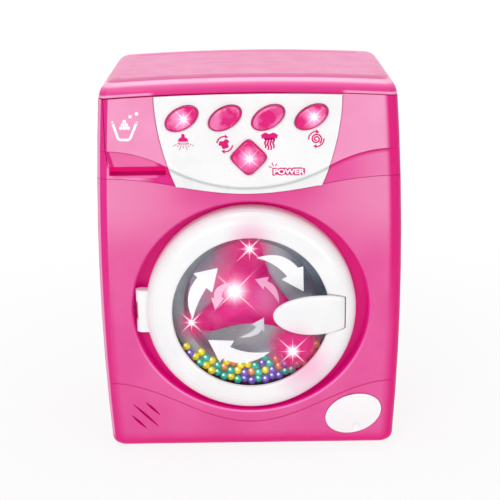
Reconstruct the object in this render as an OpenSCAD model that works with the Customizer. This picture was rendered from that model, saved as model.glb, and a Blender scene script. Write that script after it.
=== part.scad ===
// Toy washing machine with a swinging porthole door, a turning drum with beads,
// five push buttons and a pull-out drawer.
// X runs to the right, Z up and Y from the front to the back. Z = 0 is the underside.
// Inside the modules Y is counted from the front face; place() centres the whole on Y = 0.

/* [Body] */
// Widest width of the body
body_w = 168; // [160:1:180]
// Depth of the body, from front face to back face
body_d = 110; // [106:1:130]
// Height of the body at its middle, up to the top cover's seam
body_h = 206; // [202:1:215]
// Height of the body's widest level
bow_z = 95; // [85:1:105]
// Radius of the bow of the body's sides
bow_r = 1400; // [1200:50:2400]
// Radius of the upright corners
corner_r = 5; // [4.2:0.1:6]
// Radius of the edges round the base
base_r = 6; // [5:0.5:7]
// Wall of the pink mouldings
wall = 2.4; // [2.2:0.1:2.6]
// Distance from the front face to the seam between the front and rear shells
split_y = 60; // [56:1:66]
// Gap seen at each seam between two mouldings
seam_gap = 0.3; // [0.2:0.05:0.4]
// Thickness of the lips that lap inside a neighbouring moulding
lip_t = 1.2; // [1:0.1:1.4]
// Reach of those lips past the seam
lip_reach = 2.5; // [1.5:0.1:2.6]
// Side clearance of those lips
lip_gap = 0.2; // [0.15:0.05:0.3]

/* [Top cover] */
// Rise of the top cover above its seam, at the middle
cover_rise = 8.8; // [8:0.2:10]
// Upright radius of the cover's rounded edge
cover_edge_h = 11; // [10:0.5:12]
// Plan radius of the cover's corners and rounded edge
cover_edge_r = 13; // [11:0.5:15]
// Radius of the arch of the cover's top and of its seam
arch_r = 1250; // [1000:50:2000]

/* [Fascia] */
// Height of the fascia at its middle
fascia_mid_h = 54.5; // [53:0.5:56]
// Height of the fascia at its sides
fascia_side_h = 45.6; // [44:0.2:47]
// Distance from the seam down to the top of the finger scoops
scoop_drop = 30.5; // [29:0.5:32]
// Depth of the finger scoops at their top edge
scoop_depth = 1.5; // [1:0.1:1.6]
// Curve of the scoops' top edge, drop per square of the distance from the corner
scoop_curve = 0.0078; // [0.006:0.0002:0.009]

/* [Control panel] */
// Width of the white panel at its top
panel_w = 100; // [97:1:103]
// How much narrower each side of the panel is at its bottom
panel_taper = 12.5; // [10:0.5:14]
// Thickness of the panel
panel_t = 2.4; // [2.2:0.1:2.8]
// How far the panel stands out of the fascia
panel_proud = 1; // [0.6:0.1:1.2]
// How far the panel's lower rim stands out of the rest of the panel
rim_proud = 0.8; // [0.4:0.1:1]
// Clearance round the panel
panel_gap = 0.2; // [0.15:0.05:0.3]

/* [Buttons] */
// Length of an oval button
oval_l = 19.4; // [18.6:0.2:21]
// Width of an oval button
oval_w = 11.6; // [11:0.2:12.6]
// Tilt of the oval buttons in degrees
oval_tilt = 30; // [20:1:40]
// Distance from one oval button to the next
oval_pitch = 23; // [22.6:0.1:24]
// Distance from the seam down to the oval buttons' centres
oval_drop = 13; // [12:0.5:13.5]
// Half the diagonal of the power button
power_half = 9.6; // [9:0.2:10]
// Distance from the seam down to the power button's centre
power_drop = 34.5; // [34:0.5:36]
// Corner radius of the power button
power_corner_r = 2.4; // [1.5:0.1:3]
// How far a button stands out of the panel
button_proud = 2.2; // [1.8:0.1:2.6]
// Travel of a button
button_travel = 1.5; // [1:0.1:1.6]
// Clearance round a button
button_gap = 0.25; // [0.2:0.05:0.35]
// Width of the flange that keeps a button in
button_flange = 1.2; // [1:0.1:1.3]
// Distance from the front face to the circuit board
board_y = 9; // [8.6:0.2:11]
// Thickness of the circuit boards
board_t = 1.4; // [1:0.2:1.6]

/* [Drawer] */
// Width of the drawer's tray
tray_w = 22; // [18:0.5:22.5]
// Height of the drawer's tray
tray_h = 21; // [16:0.5:22]
// Depth of the drawer's tray
tray_d = 44; // [30:1:46]
// Wall of the drawer's tray and of its guide
tray_wall = 1.4; // [1.2:0.1:1.6]
// Clearance between the tray and its guide
tray_gap = 0.3; // [0.25:0.05:0.5]
// Height of the finger slot under the drawer's front
slot_h = 4.9; // [4.7:0.1:5.2]
// Depth of the finger slot
slot_d = 9.5; // [8:0.5:11]

/* [Door] */
// Height of a level that is as far below the door's axis as the panel's foot is above it
door_low = 14.7; // [12:0.1:15.5]
// Gap between the door's ring and the recess at the sides
recess_side_gap = 6.9; // [6.7:0.1:8]
// Gap between the door's ring and the recess at the top and bottom
recess_top_gap = 2.7; // [2.2:0.1:4.2]
// Depth of the recess
recess_d = 8; // [7.6:0.2:9]
// Outer radius of the door's ring
door_r = 58.8; // [58.3:0.1:59.3]
// Radius of the door's window opening
window_r = 43.5; // [41:0.5:44]
// How far the ring stands out of the front face
ring_proud = 8.5; // [8:0.1:9]
// Thickness of the door's window
window_t = 1.6; // [1.2:0.1:1.8]
// Gap between the closed door and the recess's floor
door_gap = 0.8; // [0.6:0.1:1]
// Height of the handle
handle_h = 22.6; // [18:0.2:24]
// Thickness of the handle
handle_t = 3.2; // [2.6:0.1:3.4]
// Reach of the handle's tip from the door's axis
handle_tip_x = 12.2; // [8:0.2:20]
// Radius of the handle's bow
handle_bow_r = 90; // [70:5:120]
// Height of the door's hinge
hinge_h = 24.4; // [22:0.2:26]
// Radius of the hinge pin
pin_r = 1; // [0.8:0.05:1.1]
// Distance from the ring's edge to the hinge pin
hinge_offset = 1.8; // [1.7:0.05:2]
// Running clearance of pins and shafts in their bores
run_gap = 0.05; // [0.02:0.01:0.08]

/* [Drum] */
// Inner radius of the clear bead chamber
chamber_r = 45.7; // [44.5:0.1:45.8]
// Wall of the clear bead chamber
chamber_wall = 1.5; // [1.2:0.1:1.5]
// Distance from the front face to the drum's flange
drum_face_y = 5; // [4.8:0.1:5.6]
// Distance from the front face to the drum's disc
drum_disc_y = 22; // [20:0.5:24]
// Radius of the drum's mouth
drum_mouth_r = 37.9; // [37:0.1:39]
// Radius of the drum's disc
drum_disc_r = 35; // [33:0.5:36]
// Wall of the drum
drum_wall = 1.4; // [1.2:0.1:1.6]
// Number of ridges round the drum's wall
ridge_count = 5; // [3:1:7]
// Diameter of a bead
bead_d = 4.4; // [3.8:0.1:4.6]
// Least gap between two beads
bead_gap = 0.1; // [0.05:0.05:0.3]
// Reach of the agitator's lobes
lobe_r = 34.4; // [30:0.2:34.6]
// Distance from the agitator's centre to the waist of its flanks
waist_r = 16; // [13:0.5:18]
// Height of the agitator's dome
agitator_h = 14; // [10:0.5:15]

/* [Drive] */
// Tooth module of the drum gear and the small reduction gear
slow_module = 1.25; // [1.2:0.05:1.3]
// Tooth module of the large reduction gear and the motor pinion
fast_module = 1; // [0.9:0.05:1.05]
// Teeth of the drum gear
drum_teeth = 36; // [30:1:40]
// Teeth of the small reduction gear
small_teeth = 12; // [12:1:14]
// Teeth of the large reduction gear
large_teeth = 36; // [30:1:38]
// Teeth of the motor pinion
pinion_teeth = 10; // [10:1:12]
// Play added to each gear pair's distance
gear_play = 0.15; // [0.1:0.05:0.25]
// Face width of the drum gear
gear_t = 4; // [3:0.5:4]
// Radius of the drum shaft
shaft_r = 2; // [1.6:0.1:2.2]
// Radius of the motor's can
motor_r = 11; // [10:0.5:12]
// Length of the motor's can
motor_l = 26; // [22:1:30]

/* [Batteries] */
// Diameter of a cell
cell_d = 14.2; // [13.8:0.1:14.4]
// Length of a cell
cell_l = 50; // [48:0.5:50.5]
// Number of cells
cell_count = 3; // [2:1:3]
// Thickness of the battery door
battery_door_t = 2; // [1.6:0.1:2.2]

/* [Front details] */
// Length of the white filter cover
filter_l = 32.8; // [28:0.2:33]
// Width of the white filter cover
filter_w = 23.2; // [20:0.2:23.6]
// Tilt of the filter cover in degrees
filter_tilt = 19; // [10:1:25]
// Distance from the side of the body to the filter cover's centre
filter_side = 26; // [25:0.5:27]
// Height of the filter cover's centre
filter_z = 20; // [19:0.5:20.5]
// Height of the crease above the base, at the middle
crease_low = 15.8; // [14:0.2:17]
// Height of the crease above the base, at the sides
crease_high = 40.6; // [38:0.2:43]
// Length of the longest speaker slot
vent_l = 21.6; // [18:0.2:22]
// Width of a speaker slot
vent_w = 1.6; // [1.2:0.1:2]
// Radius of the speaker
speaker_r = 13.5; // [12:0.5:14]

/* [Screws] */
// Radius of a case screw's shank
screw_r = 1.4; // [1.2:0.1:1.5]
// Radius of a case screw's head
head_r = 2.7; // [2.4:0.1:2.8]
// Radius of the posts that take the case screws
post_r = 4.4; // [4.2:0.1:4.6]

/* [Hidden] */
$fn = 64;
eps = 0.01;
far = 300;

pink = "#EA5499";
light_pink = "#F19DC4";
magenta = "#E4007F";
white = "#FAFAFA";
grey = "#8A9096";
steel = "#B8BCC0";

// Levels of the body's form and segments of its corners
form_steps = 8;
form_fn = 24;

// Reach of the door past the front face, and the front face's place in the shared frame
handle_root_x = 52;
handle_swell_x = 36;
handle_root_y = 9.2;
handle_tip_y = 13.5;
handle_dx = handle_root_x - handle_tip_x;
handle_dy = handle_tip_y - handle_root_y;
handle_chord = norm([handle_dx, handle_dy]);
handle_rise = sqrt(pow(handle_bow_r, 2) - pow(handle_chord/2, 2));
bow_x = (handle_root_x + handle_tip_x)/2 - handle_rise*handle_dy/handle_chord;
bow_y = handle_rise*handle_dx/handle_chord - (handle_root_y + handle_tip_y)/2;
handle_front = handle_bow_r - bow_y;
front_y = (handle_front - body_d)/2;

// Fascia
fascia_flat_x = body_w/2 - 6;
scoop_top = body_h - scoop_drop;
scoop_corner_x = body_w/2 - 6;
fascia_side_z = body_h - fascia_side_h;

// Panel and board
panel_back = panel_t - panel_proud;
oval_z = body_h - oval_drop;
power_z = body_h - power_drop;
rim_z = body_h - 51.7;
rim_r = 88;
flange_front = panel_back + 0.2;
flange_back = flange_front + 1.2;
stem_end = board_y - button_travel - 0.7;
pad_r = 4;
post_spots = [[-40.5, body_h - 28], [40.5, body_h - 28], [-20, body_h - 45], [20, body_h - 45]];
board_post_r = 2.4;
board_screw_r = 0.9;
board_inset = 4.6;
board_h = 41;
board_top = body_h - 5.5;

// Drawer
drawer_gap = 0.35;
drawer_left = half_w(body_h) - 2.8;
drawer_low_z = fascia_side_z + 1.5 + slot_h;
tray_left = drawer_left - 2.4;
tray_right = tray_left - tray_w;
tray_low = body_h - 8.5 - tray_h;
tray_back = wall + tray_d;
guide_front = wall + 1;
cup_left = drawer_left - 1.4;
cup_right = panel_half(fascia_side_z) + 3.6;

// Door and chamber
door_z = (rim_z + door_low)/2;
recess_w = 2*(door_r + recess_side_gap);
recess_h = 2*(door_r + recess_top_gap);
recess_back = recess_d + wall;
door_back = recess_d - door_gap;
lip_back = ring_proud - 2.3;
ring_inner_r = window_r + 6;
window_disc_r = window_r + 4.7;
catch_x = (ring_inner_r + door_r)/2;
hinge_x = door_r + hinge_offset;
hinge_y = 1.5;
knuckle_r = 3.4;
pivot_r = pin_r + 1.3;
ear_h = 0.28*hinge_h;
pivot_h = hinge_h - 2*ear_h - 0.6;
chamber_front = -(lip_back - window_t - 1.2);
chamber_flange_r = chamber_r + chamber_wall + 4;
chamber_flange_t = 1.4;
housing_front = recess_back + chamber_flange_t;
housing_r = 58;
housing_wall_r = 48.5;
housing_t = 2;
housing_back = drum_disc_y + drum_wall + 7.8;
housing_screw_r = 1.1;
housing_screw_at = 55;

drum_flange_r = chamber_r - 0.5;
hub_r = 5;
bush_r = 4;
lamp_r = 40;
lamp_hole_r = 8;
flank_r = 61;
lobe_end_h = 4.5;
outer_tips = [18, 124, 216];
outer_arrow_r = 31.5;
inner_tips = [79, 180, 320];
inner_arrow_r = 17.8;

// Drive train, in order from the drum to the motor
slow_dist = slow_module*(drum_teeth + small_teeth)/2 + gear_play;
fast_dist = fast_module*(large_teeth + pinion_teeth)/2 + gear_play;
slow_angle = 60;
fast_angle = 120;
reduction_x = slow_dist*cos(slow_angle);
reduction_z = slow_dist*sin(slow_angle);
motor_x = reduction_x + fast_dist*cos(fast_angle);
motor_z = reduction_z + fast_dist*sin(fast_angle);
gear_front = housing_back + 4.8;
large_front = gear_front + gear_t + 1.4;
large_t = 3.5;
plate_front = large_front + large_t + 1.4;
plate_t = 2;
pillar_spots = [[-34, -12], [28, -23], [-24, 33]];
pillar_r = 3.2;
pillar_screw_r = 1;

// Battery bay
bay_w = cell_l + 6;
bay_pitch = cell_d + 0.6;
bay_h = cell_count*bay_pitch + 1;
bay_d = cell_d + 1.8;
bay_low = 14;
bay_front = body_d - battery_door_t - bay_d;
battery_door_w = bay_w + 8;
battery_door_h = bay_h + 12;

// Screws
case_screw_z = [20, 120, body_h - 38];
screw_l = 12;
head_t = 1.8;
seat_y = split_y + 3;
post_end = split_y - lip_reach - 1.2;

// Filter cover and the radius of its slight dome
filter_x = body_w/2 - filter_side;
filter_dome_r = 190;

// Speaker and its slots
vent_x = 23 - body_w/2;
vent_z = 20.3;
vent_angle = -45;

// Half of the body's width at height z
function half_w(z) = body_w/2 - pow(z - bow_z, 2)/(2*bow_r);

// Half of the panel's width at height z
function panel_half(z) = panel_w/2 - panel_taper*pow((body_h - z)/fascia_mid_h, 2);

// Smooth step from 0 in the middle to 1 at u = 1
function wave(u) = (1 - cos(180*min(abs(u), 1)))/2;

// Height of the fascia's lower seam
function seam_z(x) = body_h - fascia_mid_h + (fascia_mid_h - fascia_side_h)*wave(x/fascia_flat_x);

// Height of the scoops' top edge
function scoop_z(x) = scoop_top - scoop_curve*pow(min(abs(x) - scoop_corner_x, 0), 2);

// Height of the crease above the base
function crease_z(x) = crease_low + (crease_high - crease_low)*wave(x/(body_w/2 - 2));

module place() {
    translate([0, front_y, 0]) children();
}

module at_door() {
    translate([0, 0, door_z]) children();
}

// Front view outline drawn between two depths
module along_y(y0, y1) {
    translate([0, y1, 0]) rotate([90, 0, 0]) linear_extrude(y1 - y0) children();
}

// Round bar along Y
module rod(r, y0, y1) {
    translate([0, y0, 0]) rotate([-90, 0, 0]) cylinder(r = r, h = y1 - y0);
}

// Body turned about the Y axis from an outline of radius and depth
module turned(segments = 120) {
    rotate([-90, 0, 0]) rotate_extrude($fn = segments) children();
}

module oval(a, b, n = 60) {
    polygon([for (i = [0:n - 1]) [a*cos(i*360/n), b*sin(i*360/n)]]);
}

// Levels of the form, each with its height and its inset
function form_levels(inset) = concat(
    [for (a = [0:18:90]) [inset + (base_r - inset)*(1 - cos(a)), inset + (base_r - inset)*(1 - sin(a))]],
    [for (k = [1:form_steps]) [base_r + (body_h + 3 - base_r)*k/form_steps, inset]]
);

// Bowed body with rounded corners and base, shrunk by an inset
module form(inset) {
    r = max(corner_r - inset, 0.8);
    hull() {
        for (lv = form_levels(inset), sx = [-1, 1], y = [lv[1] + r, body_d - lv[1] - r]) {
            translate([sx*(half_w(lv[0]) - lv[1] - r), y, lv[0]]) cylinder(r = r, h = eps, $fn = form_fn);
        }
    }
}

// All that lies under the arched seam
module under_arch(lift = 0) {
    translate([0, body_d/2, body_h + lift - arch_r]) rotate([90, 0, 0])
        cylinder(r = arch_r, h = 2*body_d, center = true, $fn = 720);
}

// All that lies over the arched seam
module above_arch(lift = 0) {
    difference() {
        translate([-far, -far, body_h/2]) cube([2*far, 2*far, far]);
        under_arch(lift);
    }
}

// All that lies above the fascia's lower seam and in front of depth y1
module fascia_space(lift, y1) {
    along_y(-20, y1) polygon(concat(
        [for (x = [-100:4:100]) [x, seam_z(x) + lift]],
        [[100, 260], [-100, 260]]
    ));
}

// Screw post along Y, tied to the side wall by a rib that runs from rib0 to rib1
module post(side, z, y0, y1, rib0, rib1) {
    x = half_w(z) - wall - post_r - 0.4;
    translate([side*x, 0, z]) rod(post_r, y0, y1);
    translate([side*(x + post_r/2), (rib0 + rib1)/2, z]) cube([post_r + 2, rib1 - rib0, 2.4], center = true);
}

// Post of a front moulding: it ends short of the rear shell's post, which comes through the seam
module front_post(side, z) {
    post(side, z, split_y - 20, post_end, split_y - 20, post_end - seam_gap);
}

module rear_post(side, z) {
    post(side, z, post_end + seam_gap, body_d - wall/2, split_y + 2, body_d - wall/2);
}

module at_screw(side, z) {
    translate([side*(half_w(z) - wall - post_r - 0.4), 0, z]) children();
}

module recess_outline(grow = 0) {
    oval(recess_w/2 + grow, recess_h/2 + grow, 96);
}

// Hollow of the recess, with a bevelled rim
module recess_hollow() {
    at_door() along_y(-1, recess_d) recess_outline();
    at_door() hull() {
        along_y(-0.2, -0.1) recess_outline(1.4);
        along_y(1.2, 1.3) recess_outline();
    }
}

module crease_cut() {
    along_y(-1, 0.6) polygon(concat(
        [for (x = [-90:3:90]) [x, crease_z(x) + 0.3]],
        [for (x = [90:-3:-90]) [x, crease_z(x) - 0.3]]
    ));
}

// Slot with pointed ends, made by two arcs
module lens(l, w) {
    r = (l*l/4 + w*w/4)/w;
    intersection() {
        translate([0, r - w/2]) circle(r = r, $fn = 240);
        translate([0, w/2 - r]) circle(r = r, $fn = 240);
    }
}

module vent_slots() {
    translate([vent_x, 0, vent_z]) along_y(-1, wall + 1) rotate(vent_angle) {
        lens(vent_l, vent_w);
        translate([0, 5.8]) lens(0.56*vent_l, vent_w);
        translate([0, -5.8]) lens(0.58*vent_l, vent_w);
    }
}

module filter_outline(grow = 0) {
    rotate(filter_tilt) oval(filter_l/2 + grow, filter_w/2 + grow);
}

module at_filter() {
    translate([filter_x, 0, filter_z]) children();
}

module front_shell() color(pink) place() {
    difference() {
        union() {
            intersection() {
                difference() {
                    form(0);
                    form(wall);
                }
                translate([-far/2, -far/2, 0]) cube([far, far/2 + split_y - seam_gap/2, far]);
            }
            at_door() along_y(wall/2, recess_back) recess_outline(wall);
            for (side = [-1, 1], z = [case_screw_z[0], case_screw_z[1]]) front_post(side, z);
            for (a = [45:90:315]) at_door() rotate([0, a, 0]) translate([housing_screw_at, 0, 0])
                rod(2.6, recess_d + 1, housing_front);
            translate([vent_x, 0, vent_z]) difference() {
                rod(speaker_r + 1.6, wall - 0.5, wall + 4);
                rod(speaker_r + 0.2, wall + 1, wall + 5);
                rod(speaker_r - 1.5, 0, wall + 5);
            }
        }
        fascia_space(-seam_gap, far);
        recess_hollow();
        at_door() rod(chamber_r + chamber_wall + 0.2, 0, far);
        for (a = [45:90:315]) at_door() rotate([0, a, 0]) translate([housing_screw_at, 0, 0])
            rod(housing_screw_r + run_gap, recess_d + 1.2, far);
        at_door() translate([catch_x, 0, 0]) cube([3.4, far, 8.6], center = true);
        crease_cut();
        vent_slots();
        at_filter() along_y(-1, 1.2) filter_outline(0.3);
        at_filter() rotate([0, -filter_tilt, 0]) for (sx = [-1, 1]) translate([sx*filter_l/4, 0, 0])
            rod(1.5 + run_gap, 0, wall + 1);
        for (side = [-1, 1], z = [case_screw_z[0], case_screw_z[1]]) at_screw(side, z)
            rod(screw_r + run_gap, split_y - 16, far);
    }
}

// Everything behind the seam between the shells
module behind(y) {
    translate([-far/2, y, -1]) cube([far, far, far]);
}

module rear_shell() color(pink) place() {
    difference() {
        union() {
            difference() {
                union() {
                    intersection() {
                        form(0);
                        behind(split_y + seam_gap/2);
                    }
                    intersection() {
                        form(wall + lip_gap);
                        behind(split_y - lip_reach);
                        translate([-far/2, 0, 0]) cube([far, far, body_h - 2*lip_reach - 1]);
                    }
                }
                form(wall + lip_gap + lip_t);
                intersection() {
                    form(wall);
                    behind(split_y + 1.5);
                }
            }
            for (side = [-1, 1], z = case_screw_z) rear_post(side, z);
            translate([0, 0, bay_low]) {
                translate([-bay_w/2 - wall, bay_front - wall, -wall])
                    cube([bay_w + 2*wall, body_d - bay_front, bay_h + 2*wall]);
                translate([-battery_door_w/2 - wall, body_d - battery_door_t - wall, -6 - wall])
                    cube([battery_door_w + 2*wall, battery_door_t + wall/2, battery_door_h + 2*wall]);
                translate([0, 0, bay_h + 3]) rod(2.8, body_d - 12, body_d - 1);
            }
        }
        translate([0, 0, bay_low]) {
            translate([-bay_w/2, bay_front, 0]) cube([bay_w, far, bay_h]);
            translate([-battery_door_w/2, body_d - battery_door_t, -6])
                cube([battery_door_w, far, battery_door_h]);
            translate([0, 0, bay_h + 3]) rod(board_screw_r + run_gap, body_d - 10.5, far);
        }
        for (side = [-1, 1], z = case_screw_z) at_screw(side, z) {
            rod(screw_r + 0.2, 0, far);
            rod(head_r + 0.4, seat_y, far);
        }
        above_arch();
    }
}

// Outline of the white panel, up to the seam
module panel_outline(grow = 0) {
    top = body_h + 2;
    steps = 12;
    sides = [for (k = [0:steps]) let(z = top - (top - seam_z(panel_half(body_h - fascia_mid_h)))*k/steps) z];
    base_x = panel_half(sides[steps]);
    polygon(concat(
        [for (z = sides) [panel_half(z) + grow, z]],
        [for (x = [base_x - 3:-3:3 - base_x]) [x, seam_z(x) - grow]],
        [for (k = [steps:-1:0]) [-panel_half(sides[k]) - grow, sides[k]]]
    ));
}

// Outline of the drawer's front, up to the seam
module drawer_outline(grow = 0) {
    top = body_h + 2;
    steps = 8;
    edge = [for (k = [0:steps]) let(z = drawer_low_z + (top - drawer_low_z)*k/steps) [-panel_half(z) - drawer_gap + grow, z]];
    polygon(concat(
        [[-panel_half(drawer_low_z) - drawer_gap + grow, drawer_low_z - grow]],
        edge,
        [[-drawer_left - grow, top], [-drawer_left - grow, scoop_top], [1 - drawer_left - grow, drawer_low_z - grow]]
    ));
}

// Wedge of a finger scoop, deepest at its top edge
module scoop_wedge(side) {
    intersection() {
        along_y(-1, scoop_depth) polygon(concat(
            [for (x = [0:3:90]) [side*x, scoop_z(x)]],
            [[side*90, 120], [0, 120]]
        ));
        translate([side*78, 0, 0]) rotate([90, 0, 90]) linear_extrude(80, center = true) polygon([
            [-2, fascia_side_z], [0, fascia_side_z], [scoop_depth, scoop_top], [scoop_depth, scoop_top + 1],
            [-2, scoop_top + 1]
        ]);
    }
}

module oval_button_outline(grow = 0) {
    rotate(oval_tilt) oval(oval_l/2 + grow, oval_w/2 + grow, 48);
}

// Square on its corner, its corners rounded by circles
module power_outline(grow = 0) {
    side = (power_half + grow + power_corner_r*(sqrt(2) - 1))*sqrt(2);
    inner = side - 2*power_corner_r;
    rotate(45) {
        square([side, inner], center = true);
        square([inner, side], center = true);
        for (sx = [-1, 1], sy = [-1, 1]) translate([sx*inner/2, sy*inner/2]) circle(r = power_corner_r);
    }
}

module at_oval(k) {
    translate([(k - 1.5)*oval_pitch - 0.9, 0, oval_z]) children();
}

module at_power() {
    translate([0, 0, power_z]) children();
}

module fascia() color(light_pink) place() {
    difference() {
        union() {
            difference() {
                union() {
                    intersection() {
                        form(0);
                        fascia_space(0, split_y - seam_gap/2);
                    }
                    intersection() {
                        form(wall + lip_gap);
                        fascia_space(-lip_reach, split_y - lip_reach - 1);
                    }
                }
                form(wall + lip_gap + lip_t);
                intersection() {
                    form(wall);
                    fascia_space(1.5, far);
                }
            }
            for (side = [-1, 1]) front_post(side, case_screw_z[2]);
            translate([-cup_left - tray_wall, wall/2, fascia_side_z]) cube([
                cup_left - cup_right + 2*tray_wall, slot_d + tray_wall - wall/2, drawer_low_z - fascia_side_z + 5
            ]);
            for (p = post_spots) translate([p[0], 0, p[1]]) rod(board_post_r, wall/2, board_y);
        }
        along_y(-10, panel_back) panel_outline(panel_gap);
        for (k = [0:3]) at_oval(k) along_y(-10, wall + 1) oval_button_outline(button_flange + 0.3);
        at_power() along_y(-10, wall + 1) power_outline(button_flange + 0.3);
        along_y(-10, wall + 0.3) drawer_outline(drawer_gap);
        translate([-cup_left, -10, fascia_side_z + 1.5]) cube([cup_left - cup_right, 10 + slot_d, slot_h]);
        translate([-cup_left, wall, fascia_side_z + 1.5])
            cube([cup_left - cup_right, slot_d - wall, drawer_low_z - fascia_side_z + 2.1]);
        scoop_wedge(1);
        scoop_wedge(-1);
        for (p = post_spots) translate([p[0], 0, p[1]]) rod(board_screw_r + run_gap, wall, far);
        at_screw(-1, case_screw_z[2]) rod(screw_r + run_gap, split_y - 16, far);
        at_screw(1, case_screw_z[2]) rod(screw_r + run_gap, split_y - 16, far);
        above_arch();
    }
}

// Bowed lid with a rounded edge all round, shrunk by an inset
module cover_form(inset) {
    reach_x = half_w(body_h) - cover_edge_r;
    stations = 10;
    hull() {
        for (k = [0:stations], y = [cover_edge_r, body_d - cover_edge_r]) {
            x = reach_x*(2*k/stations - 1);
            translate([x, y, cover_top(x) - cover_edge_h])
                scale([1, 1, (cover_edge_h - inset)/(cover_edge_r - inset)]) sphere(r = cover_edge_r - inset, $fn = 32);
        }
        for (sx = [-1, 1], y = [corner_r, body_d - corner_r])
            translate([sx*(half_w(body_h) - corner_r), y, body_h - 2.4])
                cylinder(r = corner_r - inset, h = 1, $fn = form_fn);
    }
}

// Height of the top cover's surface
function cover_top(x) = body_h + cover_rise - (arch_r - sqrt(arch_r*arch_r - x*x));

module top_cover() color(pink) place() {
    difference() {
        union() {
            intersection() {
                cover_form(0);
                above_arch(seam_gap);
            }
            intersection() {
                form(wall + lip_gap);
                above_arch(-lip_reach);
                under_arch(seam_gap + 1);
            }
        }
        intersection() {
            form(wall + lip_gap + lip_t);
            under_arch(seam_gap + 1.5);
        }
        intersection() {
            cover_form(wall);
            above_arch(seam_gap + 1.2);
        }
    }
}

module control_panel() color(white) place() {
    difference() {
        union() {
            along_y(-panel_proud, panel_back) panel_outline();
            along_y(-panel_proud - rim_proud, 0) difference() {
                panel_outline();
                translate([0, rim_z + rim_r]) circle(r = rim_r, $fn = 240);
                translate([-far, rim_z + 11]) square([2*far, far]);
            }
        }
        for (k = [0:3]) at_oval(k) along_y(-10, far) oval_button_outline(button_gap);
        at_power() along_y(-10, far) power_outline(button_gap);
        above_arch(-seam_gap);
    }
}

// Cap of a button: an outline with a domed face, a flange behind the panel and a stem
module button_cap(dome_r) {
    intersection() {
        along_y(-panel_proud - button_proud, flange_back) children(0);
        translate([0, dome_r - panel_proud - button_proud, 0]) sphere(r = dome_r, $fn = 120);
    }
    along_y(flange_front, flange_back) children(1);
    rod(2.5, flange_back - 0.2, stem_end);
}

module oval_button(k) color(magenta) place() at_oval(k) button_cap(34) {
    oval_button_outline();
    oval_button_outline(button_flange);
}

module rinse_button() oval_button(0);
module wash_button() oval_button(1);
module dry_button() oval_button(2);
module spin_button() oval_button(3);

module power_button() color(magenta) place() at_power() button_cap(34) {
    power_outline();
    power_outline(button_flange);
}

// Rubber dome that pushes a button back: a thin sleeve round the stem's end
module pad() {
    turned(48) polygon([
        [0, stem_end + 0.1], [2.6, stem_end + 0.1], [pad_r, board_y - 0.6], [pad_r, board_y],
        [pad_r - 0.8, board_y], [pad_r - 0.8, board_y - 0.4], [2.2, stem_end + 0.7], [0, stem_end + 0.7]
    ]);
}

module rinse_pad() color("#505358") place() at_oval(0) pad();
module wash_pad() color("#505358") place() at_oval(1) pad();
module dry_pad() color("#505358") place() at_oval(2) pad();
module spin_pad() color("#505358") place() at_oval(3) pad();
module power_pad() color("#505358") place() at_power() pad();

module circuit_board() color("#2F7D4F") place() {
    difference() {
        along_y(board_y, board_y + board_t) polygon(concat(
            [for (k = [0:8]) let(z = board_top - board_h*k/8) [panel_half(z) - board_inset, z]],
            [for (k = [8:-1:0]) let(z = board_top - board_h*k/8) [-panel_half(z) + board_inset, z]]
        ));
        for (p = post_spots) translate([p[0], 0, p[1]]) rod(board_screw_r + run_gap, 0, far);
    }
}

// Screw along Y, its head at the back and its point in front
module screw(r, head, seat, l, t) {
    rod(r, seat - l, seat + 0.2);
    difference() {
        rod(head, seat, seat + t);
        translate([0, seat + t, 0]) cube([1.2*head, 1.2, 0.5], center = true);
        translate([0, seat + t, 0]) cube([0.5, 1.2, 1.2*head], center = true);
    }
}

module board_screws() color(steel) place() {
    for (p = post_spots) translate([p[0], 0, p[1]]) screw(board_screw_r, 1.9, board_y + board_t, 5.4, 1.2);
}

// Light-emitting diodes: a domed lens on the board beside each button's stem
module led(y0, y1, r = 1.5) {
    turned(32) polygon(concat(
        [[0, y1], [r + 0.3, y1], [r + 0.3, y1 - 0.6], [r, y1 - 0.6]],
        [for (a = [0:15:90]) [r*cos(a), y0 + r - r*sin(a)]]
    ));
}

module panel_leds() color("#FFD8EC") place() {
    led_front = flange_back + button_travel + 0.4;
    for (k = [0:3], s = [-1, 1]) at_oval(k) rotate([0, -oval_tilt, 0])
        translate([s*6.4, 0, 0]) led(led_front, board_y);
    for (s = [-1, 1]) at_power() translate([s*6.4, 0, 0]) led(led_front, board_y);
}

module detergent_drawer() color(light_pink) place() {
    difference() {
        union() {
            intersection() {
                along_y(0, wall) drawer_outline();
                form(0);
            }
            translate([-tray_left, wall - 0.2, tray_low]) cube([tray_w, tray_d + 0.2, tray_h]);
        }
        translate([tray_wall - tray_left, wall, tray_low + tray_wall])
            cube([tray_w - 2*tray_wall, tray_d - tray_wall, far]);
        scoop_wedge(-1);
        above_arch(-seam_gap);
    }
}

module drawer_guide() color(white) place() {
    low = tray_low - tray_gap - tray_wall;
    high = tray_low + tray_h + tray_gap + tray_wall;
    difference() {
        union() {
            translate([-tray_left - tray_gap - tray_wall, guide_front, low])
                cube([tray_w + 2*tray_gap + 2*tray_wall, tray_d, high - low]);
            along_y(wall, guide_front + 1.5) polygon(concat(
                [for (k = [0:6]) let(z = low + (high - low)*k/6) [-panel_half(z) + 0.5, z]],
                [for (k = [6:-1:0]) let(z = low + (high - low)*k/6) [-panel_half(z) + 2.2, z]]
            ));
            along_y(guide_front, guide_front + 1.5) polygon([
                [-tray_right - 1, low], [-panel_half(low) + 1, low],
                [-panel_half(high) + 1, high], [-tray_right - 1, high]
            ]);
            for (z = [low + 3, high - 6]) translate([-tray_left - 3.6, 8, z]) cube([3, tray_d/2, 2]);
        }
        translate([-tray_left - tray_gap, 0, tray_low - tray_gap])
            cube([tray_w + 2*tray_gap, tray_back + 1, tray_h + 2*tray_gap]);
    }
}

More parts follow.
